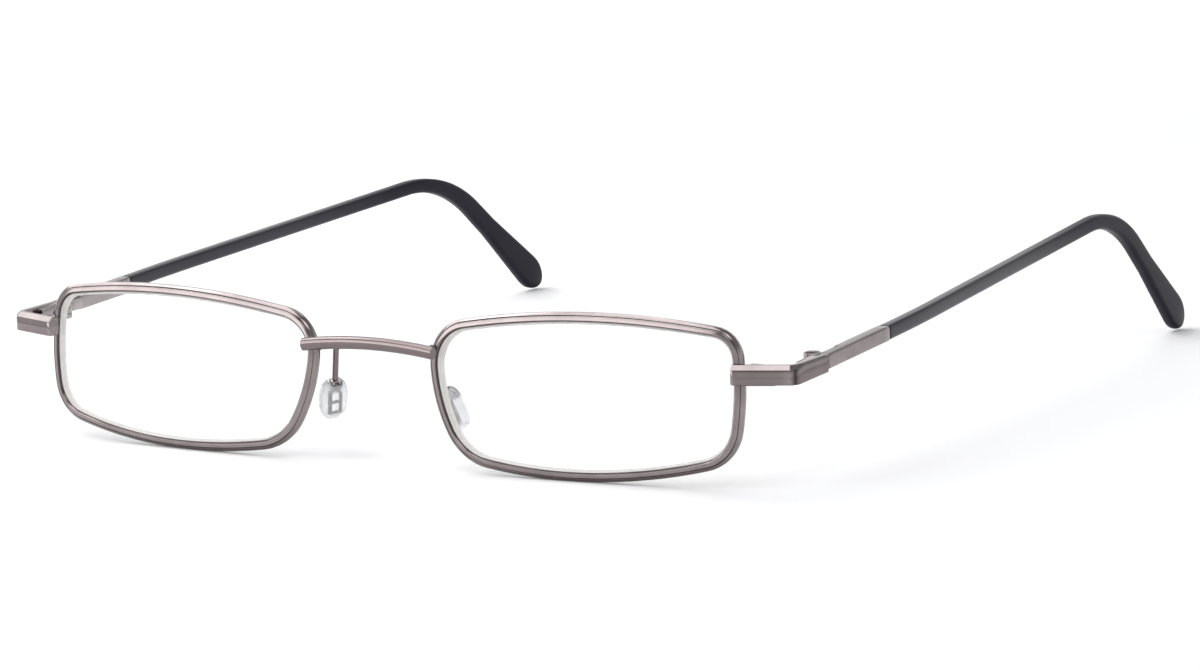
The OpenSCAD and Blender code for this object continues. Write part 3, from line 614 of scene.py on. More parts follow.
@dataclass(frozen=True)
class MouldedPlastic:
    """Dark moulded plastic.

    Attributes:
        name: The material's name.
        colour: Body colour, linear.
        handled: Colour of the patches that are handled.
        roughness: Mean roughness.
        gloss: Strength of the body's own reflection, 0.5 for a plain plastic.
        grain: Depth of the grain, in millimetres.
        coat_roughness: Roughness of the polish, which fades towards the tip.
        coat_tint: Tint of the polish.
    """

    name: str
    colour: Colour
    handled: Colour
    roughness: float
    gloss: float = 0.5
    grain: float = 0.002
    coat_roughness: float = 0.1
    coat_tint: Colour = (0.95, 0.94, 1.0)

    def material(self, moulded: Tree) -> Material:
        """Builds the material.

        Args:
            moulded: The shared group of moulded skins.

        Returns:
            The material.
        """
        made, tree, shader = new_material(self.name)
        skin = add(tree, "ShaderNodeGroup", {
            "Colour": (*self.colour, 1), "Handled Colour": (*self.handled, 1),
            "Roughness": self.roughness}, node_tree=moulded)
        feed(tree, shader, {
            "Base Color": skin["Colour"], "Roughness": skin["Roughness"],
            "Specular IOR Level": self.gloss, "Coat Weight": skin["Shine"],
            "Coat Roughness": self.coat_roughness, "Coat Tint": (*self.coat_tint, 1),
            "Normal": bump(tree, skin["Height"], self.grain)})
        return made


@dataclass(frozen=True)
class ClearBody:
    """A clear solid: lens plastic or silicone.

    Attributes:
        name: The material's name.
        colour: Tint of what passes through, linear.
        roughness: Least roughness.
        spread: How much the roughness wanders above it.
        ior: Index of refraction.
        haze: Share of light that stays in the body as a milky tone.
        clouds: Scale of the roughness's clouds.
    """

    name: str
    colour: Colour
    roughness: float
    spread: float
    ior: float
    haze: float = 0.0
    clouds: float = 160.0

    def material(self) -> Material:
        """Builds the material, with a roughness that wanders over it.

        Returns:
            The material.
        """
        made, tree, shader = new_material(self.name)
        cloud = noise(tree, spot(tree), self.clouds, 3, 0.5)
        feed(tree, shader, {
            "Roughness": maths(tree, "MULTIPLY_ADD", cloud, self.spread, self.roughness),
            "Base Color": (*self.colour, 1), "Metallic": 0, "IOR": self.ior,
            "Transmission Weight": 1 - self.haze})
        return made


@dataclass(frozen=True)
class GroundEdge:
    """The lens's ground edge, pale and frosted, with a painted glow.

    Attributes:
        name: The material's name.
        colour: Its colour, linear.
        roughness: Its roughness.
        led: Strength of its emission, a painted glow that stands in for the light that the lens
            leads to it.
        dull: Share of the colour in the streaks that grinding leaves.
        grain: Depth of the streaks, in millimetres.
        streaks: Scale of the streaks.
    """

    name: str
    colour: Colour
    roughness: float
    led: float
    dull: float = 0.86
    grain: float = 0.004
    streaks: float = 2600.0

    def material(self) -> Material:
        """Builds the material, with its streaks.

        Returns:
            The material.
        """
        made, tree, shader = new_material(self.name)
        streak = noise(tree, spot(tree), self.streaks, 2, 0.6)
        tone = blend(tree, streak, (*[self.dull * c for c in self.colour], 1), (*self.colour, 1))
        # Painted glow: the edge emits its own streaked colour.
        feed(tree, shader, {
            "Base Color": tone, "Emission Color": tone, "Emission Strength": self.led,
            "Roughness": self.roughness, "Normal": bump(tree, streak, self.grain)})
        return made


@dataclass
class Palette:
    """All finishes of the glasses, built once."""

    # The second colour of each plating is its colour on worn edges and painted highlights.
    gunmetal: PlatedMetal = PlatedMetal(
        "gunmetal_plating", (0.18, 0.15, 0.15), (0.46, 0.415, 0.415), 0.14)
    polished: PlatedMetal = PlatedMetal(
        "polished_fittings", (0.33, 0.3, 0.3), (0.5, 0.47, 0.47), 0.12, 0.06, 0.0003, 0.3)
    # Partly painted shade: the screws' steel is made very dark so that their heads read as shaded
    # recesses.
    steel: PlatedMetal = PlatedMetal(
        "screw_steel", (0.06, 0.055, 0.057), (0.15, 0.14, 0.14), 0.4)
    sleeve: MouldedPlastic = MouldedPlastic(
        "black_sleeve", (0.012, 0.0105, 0.019), (0.019, 0.017, 0.027), 0.4, 0.05)
    lens: ClearBody = ClearBody("clear_lens", (1, 1, 1), 0.0, 0.012, 1.5)
    # The ground edge's last number is the strength of its painted glow.
    edge: GroundEdge = GroundEdge("ground_lens_edge", (0.78, 0.765, 0.75), 0.55, 0.22)
    silicone: ClearBody = ClearBody("clear_silicone", (0.95, 0.965, 0.975), 0.02, 0.06, 1.35, 0.3)
    made: dict[str, Material] = field(default_factory=dict)

    def build(self) -> None:
        """Makes the shared groups and every material."""
        satin, moulded = satin_group(), moulded_group()
        for key, *groups in (("gunmetal", satin), ("polished", satin), ("steel", satin),
                             ("sleeve", moulded), ("lens",), ("edge",), ("silicone",)):
            self.made[key] = getattr(self, key).material(*groups)

    def __getitem__(self, key: str) -> Material:
        """A built material by its key."""
        return self.made[key]


# ------------------------------------------------------------------ geometry node trees


def close_tree(tree: Tree, shape: Socket, material: Socket) -> None:
    """Ends a geometry tree in Realize Instances and Set Material.

    Args:
        tree: The tree.
        shape: The finished geometry.
        material: The material that it gets.
    """
    real = add(tree, "GeometryNodeRealizeInstances", {"Geometry": shape})[0]
    coat = add(tree, "GeometryNodeSetMaterial", {"Geometry": real, "Material": material})[0]
    add(tree, "NodeGroupOutput", {"Geometry": coat})


def wire_tree() -> Tree:
    """A round wire along a path of edges, thinned where the path's points say so.

    Returns:
        A geometry tree with the inputs Radius, Sides and Material.
    """
    tree = new_tree("round_wire", "GeometryNodeTree", {
        "Geometry": None, "Radius": 0.0, "Sides": 24, "Material": None}, ["Geometry"])
    given = add(tree, "NodeGroupInput")
    line = add(tree, "GeometryNodeMeshToCurve", {"Mesh": given["Geometry"]})
    thin = add(tree, "GeometryNodeInputNamedAttribute", {"Name": "thinning"}, data_type="FLOAT")
    path = add(tree, "GeometryNodeSetCurveRadius", {"Curve": line["Curve"],
                                                    "Radius": thin["Attribute"]})
    ring = add(tree, "GeometryNodeCurvePrimitiveCircle", {"Resolution": given["Sides"],
                                                          "Radius": given["Radius"]})
    tube = add(tree, "GeometryNodeCurveToMesh", {
        "Curve": path["Curve"], "Profile Curve": ring["Curve"], "Fill Caps": True})
    close_tree(tree, tube["Mesh"], given["Material"])
    return tree


def screw_tree() -> Tree:
    """A slotted screw at each point, turned to the direction that the point holds.

    Returns:
        A geometry tree with the screw's sizes, the slot's turn and the material as inputs.
    """
    sizes = ("Head Radius", "Head Height", "Shank Radius", "Shank Length", "Slot Width",
             "Slot Depth", "Slot Turn")
    tree = new_tree("slotted_screws", "GeometryNodeTree", {
        "Geometry": None, **dict.fromkeys(sizes, 0.0), "Material": None}, ["Geometry"])
    given = add(tree, "NodeGroupInput")
    head_r, head_h, shank_r, shank_l, slot_w, slot_h, slot_turn = (given[key] for key in sizes)

    def moved(shape: Socket, how: str, z: Socket) -> Socket:
        """A shape shifted along Z or turned about it."""
        by = add(tree, "ShaderNodeCombineXYZ", {"Z": z})[0]
        return add(tree, "GeometryNodeTransform", {"Geometry": shape, how: by})[0]

    def rod(radius: Socket, height: Socket, middle: Socket) -> Socket:
        """A closed cylinder about Z.

        Args:
            radius: Its radius.
            height: Its height.
            middle: How high its middle is.

        Returns:
            Its geometry.
        """
        mesh = add(tree, "GeometryNodeMeshCylinder", {"Vertices": 40, "Radius": radius,
                                                      "Depth": height})["Mesh"]
        return moved(mesh, "Translation", middle)

    head = rod(head_r, head_h, maths(tree, "MULTIPLY", head_h, -0.5))
    size = add(tree, "ShaderNodeCombineXYZ", {
        "X": maths(tree, "MULTIPLY", head_r, 2.4), "Y": slot_w,
        "Z": maths(tree, "MULTIPLY", slot_h, 2)})[0]
    blade = add(tree, "GeometryNodeMeshCube", {"Size": size})["Mesh"]
    cut = add(tree, "GeometryNodeMeshBoolean", {"Mesh 1": head, "Mesh 2": blade},
              operation="DIFFERENCE", solver="EXACT")["Mesh"]
    low = maths(tree, "SUBTRACT", maths(tree, "MULTIPLY", shank_l, -0.5), head_h)
    both = tree.nodes.new("GeometryNodeJoinGeometry")
    for shape in (moved(cut, "Rotation", slot_turn), rod(shank_r, shank_l, low)):
        feed(tree, both, {"Geometry": shape})
    way = add(tree, "GeometryNodeInputNamedAttribute", {"Name": "way"}, data_type="FLOAT_VECTOR")
    turn = add(tree, "FunctionNodeAlignRotationToVector", {"Vector": way["Attribute"]}, axis="Z")
    screws = add(tree, "GeometryNodeInstanceOnPoints", {
        "Points": given["Geometry"], "Instance": both.outputs[0], "Rotation": turn[0]})
    close_tree(tree, screws[0], given["Material"])
    return tree


def run_tree(tree: Tree, source: Mesh, name: str, values: dict[str, object]) -> Object:
    """Runs a geometry node tree on a mesh and keeps the result as a plain mesh.

    Args:
        tree: The node tree.
        source: The mesh that it starts from.
        name: The piece's name.
        values: Value of each named input.

    Returns:
        A smooth mesh object without modifiers.
    """
    made = put(name + "_source", source)
    modifier = made.modifiers.new("shape", "NODES")
    modifier.node_group = tree
    for item in tree.interface.items_tree:
        if item.item_type == "SOCKET" and item.in_out == "INPUT" and item.name in values:
            modifier[item.identifier] = values[item.name]
    return smooth(plain_mesh(made, name))


def wire_piece(tree: Tree, name: str, path: Array, radius: float, material: Material,
               thinning: Array | None = None, sides: int = 24) -> Object:
    """A round wire along a path.

    Args:
        tree: The wire's node tree.
        name: The piece's name.
        path: Points of its centre line.
        radius: The wire's radius.
        material: Its finish.
        thinning: Share of the radius at each point, 1 where left out.
        sides: Number of faces round the wire.

    Returns:
        A plain mesh object, closed at both ends.
    """
    mesh = bpy.data.meshes.new(name + "_path")
    mesh.from_pydata((path * MM).tolist(), [(i, i + 1) for i in range(len(path) - 1)], [])
    mark_points(mesh, "thinning", np.ones(len(path)) if thinning is None else thinning)
    return run_tree(tree, mesh, name, {"Radius": radius * MM, "Sides": sides,
                                       "Material": material})


@dataclass
class Screw:
    """Sizes of one slotted screw, in millimetres, and the turn of its slot."""

    head_r: float
    head_h: float
    shank_r: float
    shank_l: float
    slot_w: float
    slot_h: float
    slot_turn: float

    def build(self, tree: Tree, name: str, top: Array, way: Array, material: Material) -> Object:
        """Makes the screw.

        Args:
            tree: The screws' node tree.
            name: The piece's name.
            top: The middle of its head's face.
            way: The direction that the head faces.
            material: Its finish.

        Returns:
            A plain mesh object.
        """
        mesh = bpy.data.meshes.new(name + "_spot")
        mesh.from_pydata([(top * MM).tolist()], [], [])
        mark_points(mesh, "way", unit(way)[None])
        return run_tree(tree, mesh, name, {
            "Head Radius": self.head_r * MM, "Head Height": self.head_h * MM,
            "Shank Radius": self.shank_r * MM, "Shank Length": self.shank_l * MM,
            "Slot Width": self.slot_w * MM, "Slot Depth": self.slot_h * MM,
            "Slot Turn": math.radians(self.slot_turn), "Material": material})


# ------------------------------------------------------------------ the front


@dataclass
class Rims:
    """Both eyewires and their lenses, on a base curve and turned round the face.

    The marks are the ridge values round the eyewire's section: its back, back lip, groove, front
    lip and front; above 0 edge wear and painted highlight, below 0 painted shade on the front lip
    and in the front's line.
    The low marks stand where the rim faces down: painted light on its inner part and painted shade
    on its outer part.
    """

    lens_w: float = 48
    lens_h: float = 21.7
    bridge_gap: float = 22.4
    lens_t: float = 1.5
    lens_front_r: float = 130
    lens_back_r: float = 110
    lens_sit: float = 0.43
    lens_ring: float = 0.97
    lens_gap: float = 0.1
    lens_core: float = 0.04
    lens_levels: int = 14
    bevel_out: float = 0.272
    bevel_t: float = 0.44
    bevel_flat: float = 0.2
    rim_t: float = 1.4
    rim_d: float = 1.6
    rim_round: float = 0.3
    lip_round: float = 0.18
    groove_h: float = 0.46
    groove_w: float = 0.64
    groove_taper: float = 0.05
    front_fall: float = 14
    line_out: float = 0.86
    line_w: float = 0.16
    line_deep: float = 0.09
    shoulder: float = 0.34
    lip_in: float = 0.16
    lip_deep: float = 0.5
    base_r: float = 223
    wrap: float = 3.8
    lean: float = 3.6
    rim_cut: float = 0.2
    cut_z: float = 4.3
    top_r: float = 130
    bottom_r: float = 91
    outer_r: float = 37.7
    nasal_r: float = 22.9
    top_crest: float = 3.5
    bottom_crest: float = 2.3
    outer_crest: float = 1.9
    nasal_crest: float = 5.1
    corner_top_outer: float = 3.5
    corner_top_nasal: float = 5.4
    corner_bottom_nasal: float = 7.8
    corner_bottom_outer: float = 5.4
    spacing: float = 0.55
    merge: float = 0.01
    middle_y: float = 70.1509
    marks: tuple[float, ...] = (*[1] * 6, *[0.6] * 4, *[0] * 4, -0.3, -0.6,
                                -0.6, 0.2, 0.5, 0.6, 1, -1, 0.6, 0.8, 1, 0.8)
    low_marks: tuple[float, ...] = (*[1] * 6, *[0.6] * 4, *[0] * 4, 1, 1,
                                    1, 1, 1, 0.8, 0.5, -0.7, -0.2, -0.3, -0.4, -0.4)

    def __post_init__(self) -> None:
        """Works out the outline and the height of the lens centres."""
        self.lens_x = (self.bridge_gap + self.lens_w) / 2
        self.stations = self.outline_stations()
        self.front_z = 0.0
        rings = self.to_front(self.section_rings(self.eyewire_section()))
        self.front_z = -float(rings[..., 2].min())

    @staticmethod
    def meet(c1: Array, d1: float, c2: Array, d2: float, near: Array) -> Array:
        """Where two circles meet.

        Args:
            c1, d1: Centre and radius of the first.
            c2, d2: Centre and radius of the second.
            near: A point near the meeting wanted.

        Returns:
            The nearer of the two meetings.
        """
        v = c2 - c1
        d = float(np.linalg.norm(v))
        along = (d1 * d1 - d2 * d2 + d * d) / (2 * d)
        foot = c1 + along * v / d
        side = np.array([-v[1], v[0]]) / d * math.sqrt(d1 * d1 - along * along)
        return min(foot + side, foot - side, key=lambda p: float(np.linalg.norm(p - near)))

    def outline_stations(self) -> Array:
        """The outline of the lens opening, from the saw cut round to it.

        Returns:
            Rows of [x, z, normal x, normal z].
        """
        w, h = self.lens_w / 2, self.lens_h / 2
        sides = [(np.array([w - self.outer_r, self.outer_crest]), self.outer_r),
                 (np.array([self.top_crest, h - self.top_r]), self.top_r),
                 (np.array([self.nasal_r - w, self.nasal_crest]), self.nasal_r),
                 (np.array([-self.bottom_crest, self.bottom_r - h]), self.bottom_r)]
        rounds = [(self.corner_top_outer, (w, h)), (self.corner_top_nasal, (-w, h)),
                  (self.corner_bottom_nasal, (-w, -h)), (self.corner_bottom_outer, (w, -h))]

        def heading(v: Array) -> float:
            """Angle of a direction from 0 to 360 degrees."""
            return math.degrees(math.atan2(v[1], v[0])) % 360

        def cut_angle(z: float) -> float:
            """Angle on the outer side at a height above the lens centre."""
            return math.degrees(math.asin((z - self.outer_crest) / self.outer_r))

        arcs = []
        start = cut_angle(self.cut_z + self.rim_cut / 2)
        for i, (r, near) in enumerate(rounds):
            (centre, side_r), (after, after_r) = sides[i], sides[(i + 1) % 4]
            middle = self.meet(centre, side_r - r, after, after_r - r, np.array(near))
            turn, end = heading(middle - centre), heading(middle - after)
            arcs += [(centre, side_r, start, turn), (middle, r, turn, end)]
            start = end
        arcs.append((*sides[0], start, 360 + cut_angle(self.cut_z - self.rim_cut / 2)))
        rows = []
        for centre, r, a0, a1 in arcs:
            steps = max(2, round(abs(math.radians(a1 - a0)) * r / self.spacing))
            for i in range(steps + 1):
                a = math.radians(a0 + (a1 - a0) * i / steps)
                row = (centre[0] + r * math.cos(a), centre[1] + r * math.sin(a),
                       math.cos(a), math.sin(a))
                if not rows or math.hypot(row[0] - rows[-1][0], row[1] - rows[-1][1]) > self.merge:
                    rows.append(row)
        return np.array(rows)

    def face_y(self, x: Array | float, z: Array | float) -> Array | float:
        """How far the curved face lies behind the lens centre."""
        return (x * x + z * z) / (2 * self.base_r)

    def sag(self, r: float) -> float:
        """Depth of a curve of radius r at the lens's edge."""
        return (self.lens_w / 2) ** 2 / (2 * r)

    def section_rings(self, section: Array) -> Array:
        """A section round the outline.

        Args:
            section: Points, x outwards and y back.

        Returns:
            Rings in the left lens's frame.
        """
        s = self.stations
        slope = (s[:, 0] * s[:, 2] + s[:, 1] * s[:, 3]) / self.base_r
        c = 1 / np.sqrt(1 + slope ** 2)
        out = section[None, :, 0] * c[:, None] - section[None, :, 1] * (slope * c)[:, None]
        back = section[None, :, 0] * (slope * c)[:, None] + section[None, :, 1] * c[:, None]
        y0 = self.face_y(s[:, 0], s[:, 1])
        return np.stack([s[:, 0, None] + s[:, 2, None] * out, y0[:, None] + back,
                         s[:, 1, None] + s[:, 3, None] * out], axis=-1)

    def to_front(self, p: Array) -> Array:
        """Moves points of the left lens's frame to the part's frame.

        Args:
            p: Points, x outwards, y back and z up from the lens centre.

        Returns:
            The points in the part's frame.
        """
        w, n = math.radians(self.wrap), math.radians(self.lean)
        x = self.lens_x + p[..., 0] * math.cos(w) - p[..., 1] * math.sin(w)
        y = p[..., 0] * math.sin(w) + p[..., 1] * math.cos(w)
        return np.stack([x, y * math.cos(n) + p[..., 2] * math.sin(n) - self.middle_y,
                         p[..., 2] * math.cos(n) - y * math.sin(n) + self.front_z], axis=-1)

    def eyewire_section(self) -> Array:
        """The eyewire's section: rounded back, groove, chamfered lip and a front with a line.

        Returns:
            Points, x outwards from the lens opening and y back.
        """
        t, d, r, lip = self.rim_t, self.rim_d, self.rim_round, self.lip_round
        g, taper = self.groove_w / 2, self.groove_taper
        line, half, inner = self.line_out, self.line_w / 2, self.lip_in

        def face(x: float, deep: float = 0) -> tuple[float, float]:
            """A point behind the front face, which falls back towards the outside."""
            return x, x * math.tan(math.radians(self.front_fall)) - d / 2 + deep

        step_y = face(line)[1]
        side_y = step_y + self.line_deep * 0.4 + self.shoulder
        inside = [face(inner * 0.6, 0.12), face(inner + 0.02, 0.02), face(inner + 0.1),
                  face(line - half - 0.09), face(line - half, 0.015)]
        outside = [face(line, self.line_deep), (line + half, step_y + 0.02),
                   (line + half + 0.06, step_y + 0.05), (t - 0.03, side_y), (t, side_y + 0.1)]
        groove = [(0, g), (self.groove_h, g - taper), (self.groove_h, taper - g), (0, -g)]
        lip_front = [(0, self.lip_deep - d / 2), (0.02, self.lip_deep * 0.7 - d / 2)]
        return np.array(corner(t - r, d / 2 - r, r, 0, 5) + corner(lip, d / 2 - lip, lip, 90, 3)
                        + groove + lip_front + inside + outside)

    def eyewire(self) -> Shape:
        """The left eyewire, with painted light on its inner part and painted shade on its outer
        part where it faces down.

        Returns:
            The closed wire.
        """
        # Painted light and shade: where the rim faces down, its ridge values move towards the
        # underside marks.
        low = np.clip(-self.stations[:, 3], 0, 1)[:, None] ** 2
        ridge = np.array(self.marks) * (1 - low) + np.array(self.low_marks) * low
        return Shape.swept(self.to_front(self.section_rings(self.eyewire_section())), ridge)

    def lens(self) -> Shape:
        """The left lens: two curved faces, a bevelled edge and the frosted ring behind it.

        Returns:
            The closed lens, with coat 1 where it is ground.
        """
        s, gap, flat = self.stations, self.lens_gap, self.bevel_flat / 2
        vertex = self.sag(self.base_r) - self.sag(self.lens_front_r) - self.lens_sit

        def ring(out: float, scale: float, y: float, r: float | None = None) -> Array:
            """One ring of the lens.

            Args:
                out: How far it lies outside the outline.
                scale: Its size against the outline.
                y: How far back its curve's top lies.
                r: Radius of its sphere, None for the base curve.

            Returns:
                Its points.
            """
            x, z = (s[:, 0] + s[:, 2] * out) * scale, (s[:, 1] + s[:, 3] * out) * scale
            fall = self.face_y(x, z) if r is None else r - np.sqrt(r * r - x * x - z * z)
            return np.stack([x, y + fall, z], -1)

        levels = np.append(np.linspace(self.lens_core, self.lens_ring, self.lens_levels), 1)
        bevel = ((-gap, -self.bevel_t / 2), (self.bevel_out, -flat), (self.bevel_out, flat),
                 (-gap, self.bevel_t / 2))
        rings = [ring(-gap, k, vertex, self.lens_front_r) for k in levels]
        rings += [ring(out, 1, y) for out, y in bevel]
        rings += [ring(-gap, k, vertex + self.lens_t, self.lens_back_r) for k in levels[::-1]]
        n, m = len(rings), len(s)
        faces = skin_faces(n, m)
        ground = range(len(levels) - 1, len(levels) + 5)
        coat = [int(f // m in ground) for f in range(len(faces))]
        front, back = n * m, n * m + 1
        for j in range(m):
            k = (j + 1) % m
            faces += [(front, k, j), (back, front - m + j, front - m + k)]
            coat += [0, 0]
        verts = np.concatenate([*rings, [[0, vertex, 0], [0, vertex + self.lens_t, 0]]])
        return Shape(self.to_front(verts), faces, coat=coat).outward()

    def build(self, side: Side, palette: Palette) -> None:
        """Makes one eyewire and one lens.

        Args:
            side: The half.
            palette: The finishes.
        """
        name = side.label + "_eyewire"
        made = self.eyewire().on_side(side).build("wire_of_" + name, palette["gunmetal"])
        settle(made, "front", "frame_metal", name)
        name = side.label + "_lens"
        made = self.lens().on_side(side).build("clear_" + name, palette["lens"], palette["edge"],
                                               sharp=28)
        settle(made, "front", "lens", name)


@dataclass
class Bridge:
    """The arched wire soldered on the fronts of both rims."""

    rims: Rims
    bridge_r: float = 0.86
    bridge_z: float = 5.1
    bridge_arch: float = 0.8
    bridge_lap: float = 0.1
    tall: float = 1.12
    joint_gap: float = 0.05
    solder: tuple[float, float, float] = (0.66, 0.62, 0.98)
    solder_in: float = 0.78
    solder_back: float = 0.9
    cap_rings: int = 12
    cap_turn: float = 86
    straight_rings: int = 41
    sides: int = 36

    def build(self, tree: Tree, palette: Palette) -> None:
        """Makes the bridge with its rounded ends, a little taller than deep, and its solder.

        Args:
            tree: The wires' node tree.
            palette: The finishes.
        """
        rims, r = self.rims, self.bridge_r
        end = rims.bridge_gap / 2 + self.bridge_lap
        mid_x = -rims.lens_w / 2 - rims.rim_t / 2
        seat_y = rims.face_y(mid_x, self.bridge_z) - rims.rim_d / 2
        seat = rims.to_front(np.array([mid_x, seat_y, self.bridge_z]))
        y = float(seat[1]) - r - self.joint_gap
        turn = np.radians(np.linspace(self.cap_turn, 0, self.cap_rings))
        tip = end - r * (1 - np.sin(turn))
        straight = np.linspace(r - end, end - r, self.straight_rings)[1:-1]
        x = np.concatenate([-tip, straight, tip[::-1]])
        thin = np.concatenate([np.cos(turn), np.ones(len(straight)), np.cos(turn)[::-1]])
        z = float(seat[2]) + self.bridge_arch * (1 - (x / end) ** 2)
        path = np.stack([x, np.full_like(x, y), z], -1)
        made = wire_piece(tree, "arched_bridge", path, r, palette["gunmetal"], thin,
                          self.sides)
        spots = np.zeros(3 * len(made.data.vertices), np.float32)
        made.data.vertices.foreach_get("co", spots)
        spots = spots.reshape(-1, 3)
        line = np.interp(spots[:, 0] / MM, x, z) * MM
        spots[:, 2] = line + (spots[:, 2] - line) * self.tall
        made.data.vertices.foreach_set("co", spots.ravel())
        made.data.update()
        settle(made, "front", "frame_metal", "bridge")
        drop = Shape.ball((end - self.solder_in, y + self.solder_back,
                           float(z[-self.cap_rings])), self.solder)
        for side in Side:
            made = drop.on_side(side).build(side.label + "_bridge_solder", palette["gunmetal"])
            settle(made, "front", "frame_metal")


@dataclass
class Endpieces:
    """The bars that carry the hinges, with their closing blocks and screws.

    The marks are the ridge values round the bar's section: its lower front, darkened with painted
    shade; face; bevel, with painted shade in the crease at its foot and painted highlight with
    edge wear above it; and back.
    """

    rims: Rims
    bar_t: float = 1.4
    bar_h: float = 2.85
    bar_end_h: float = 2.55
    bar_out: float = 9.3
    bar_top_rise: float = 0.06
    bar_slant: float = 19.5
    bar_corner_r: float = 1.6
    bar_bevel: float = 0.7
    bar_end_bevel: float = 0.3
    bar_return: float = 8.7
    bar_lap: float = 1.25
    rim_edge: float = 0.34
    rim_edge_share: float = 0.35
    joint_gap: float = 0.05
    hinge_up: float = 0.72
    temple_h: float = 2.2
    bar_edge: float = 0.2
    foot: float = 0.48
    valley_at: float = 55
    valley_w: float = 13
    valley_deep: float = 0.16
    # Where and how wide the painted glint is, by heading in the turn and along the run.
    glint_at: float = 26
    glint_w: float = 6
    glint_run: float = 0.7
    end_rounds: tuple[tuple[float, float], ...] = ((0, 0.3), (0.04, 0.15), (0.12, 0.05), (0.3, 0))
    marks: tuple[float, ...] = (*[-0.5] * 2, *[0.1] * 3, 0.5, -0.8, 0.9, 0.9, 1, 0.5, *[0.8] * 10)
    strong: float = 0.9
    run_rings: int = 14
    bend_rings: int = 15
    return_rings: int = 14
    run_full: float = 0.97
    return_from: float = 0.08
    bevel_rate: float = 6
    foot_from: float = -0.2
    foot_to: float = 0.6
    seam_inset: float = 0.3
    seam_shift: float = 0.4
    screw_head: float = 0.35
    block_edge: float = 0.1

    def __post_init__(self) -> None:
        """Works out the plan of the bar."""
        r = self.rims
        side_x = r.lens_w / 2 + r.rim_t

        def seen(x: float, y_at: float, back: float = 0) -> Array:
            """A point at the cut's height, in the part's frame before it is centred."""
            y = r.face_y(y_at, r.cut_z) + back
            return r.to_front(np.array([x, y, r.cut_z])) + np.array([0, r.middle_y, 0])

        self.rim_side = seen(side_x, side_x, -r.rim_d / 2)
        self.start_x = float(seen(side_x - self.bar_lap, r.lens_w / 2)[0])
        self.outer_x = r.lens_x + r.lens_w / 2 + self.bar_out
        self.cut_level = float(self.rim_side[2])
        mid, slant = self.bar_t / 2, math.radians(self.bar_slant)
        back_y = self.rim_side[1] - self.rim_edge * self.rim_edge_share - self.joint_gap
        self.return_x = self.outer_x - mid
        front_x = self.rim_side[0] - self.rim_edge
        self.corner_y = (back_y - mid / math.cos(slant)
                         + (self.return_x - front_x) * math.tan(slant))
        self.seam_y = self.corner_y + self.bar_return
        self.top_z = self.cut_level + self.hinge_up + self.temple_h / 2 - self.bar_top_rise

    def stations(self) -> Array:
        """The bar's centre line: the front run, the corner and the return.

        Returns:
            Rows of [x, y, heading, bottom, top, bevel].
        """
        bend_r = self.bar_corner_r - self.bar_t / 2
        bend_a = 90 - self.bar_slant
        cut = bend_r * math.tan(math.radians(bend_a / 2))
        slant = math.radians(self.bar_slant)
        run_end = (self.return_x - cut * math.cos(slant), self.corner_y - cut * math.sin(slant))
        centre = (self.return_x - bend_r, self.corner_y + cut)

        def station(x: float, y: float, a: float) -> tuple[float, ...]:
            """One station, with the heights and the bevel at its y.

            Args:
                x: How far out it is.
                y: How far back it is.
                a: Its heading in degrees.

            Returns:
                Its row.
            """
            t = float(share(y, self.corner_y, self.seam_y))
            top = self.top_z + self.bar_top_rise * t
            fade_out = min(1, t * self.bevel_rate)
            bevel = self.bar_bevel + (self.bar_end_bevel - self.bar_bevel) * fade_out
            return (x, y, a, top - self.bar_h + (self.bar_h - self.bar_end_h) * t, top, bevel)

        span = run_end[0] - self.start_x
        rows = [station(self.start_x + span * f, run_end[1] - span * (1 - f) * math.tan(slant),
                        self.bar_slant) for f in np.linspace(0, self.run_full, self.run_rings)]
        for i in range(self.bend_rings):
            a = self.bar_slant + bend_a * i / (self.bend_rings - 1)
            rows.append(station(centre[0] + bend_r * math.sin(math.radians(a)),
                                centre[1] - bend_r * math.cos(math.radians(a)), a))
        rows += [station(self.return_x, centre[1] + (self.seam_y - centre[1]) * f, 90)
                 for f in np.linspace(self.return_from, 1, self.return_rings)]
        return np.array(rows)

    def valley(self, heading: Array | float) -> Array | float:
        """How far a heading lies in the groove where the bar turns back, 0 to 1."""
        return np.exp(-((heading - self.valley_at) / self.valley_w) ** 2)

    def ring(self, s: Array, inset: float = 0, shift: float = 0) -> Array:
        """One ring of the bar.

        Args:
            s: Its station.
            inset: How far it is drawn in.
            shift: How far it is moved along the bar.

        Returns:
            Its points, in the part's frame.
        """
        a = math.radians(s[2])
        out, ahead = (math.sin(a), -math.cos(a)), (math.cos(a), math.sin(a))
        t = self.bar_t / 2 - inset
        near = self.rim_side[0]
        foot = self.foot * (1 - float(share(s[0], near + self.foot_from, near + self.foot_to)))
        low, high, b, e = s[3] + inset, s[4] - inset, s[5], self.bar_edge
        face = t - self.valley_deep * self.valley(s[2])
        section = corner(face - e, low + e, e, 270, 4)
        section += [(face, high - b - 0.12), (face - 0.06, high - b - 0.03),
                    (min(face, t - 0.05), high - b + 0.05), (t - b * 0.9, high - 0.05),
                    (t - b * 0.9 - 0.04, high - 0.01), (t - b * 0.9 - 0.1, high)]
        section += corner(e - t - foot, high - e, e, 90, 4)
        section += corner(e - t - foot, low + e, e, 180, 4)
        return np.array([(s[0] + out[0] * x + ahead[0] * shift,
                          s[1] + out[1] * x + ahead[1] * shift - self.rims.middle_y, z)
                         for x, z in section])

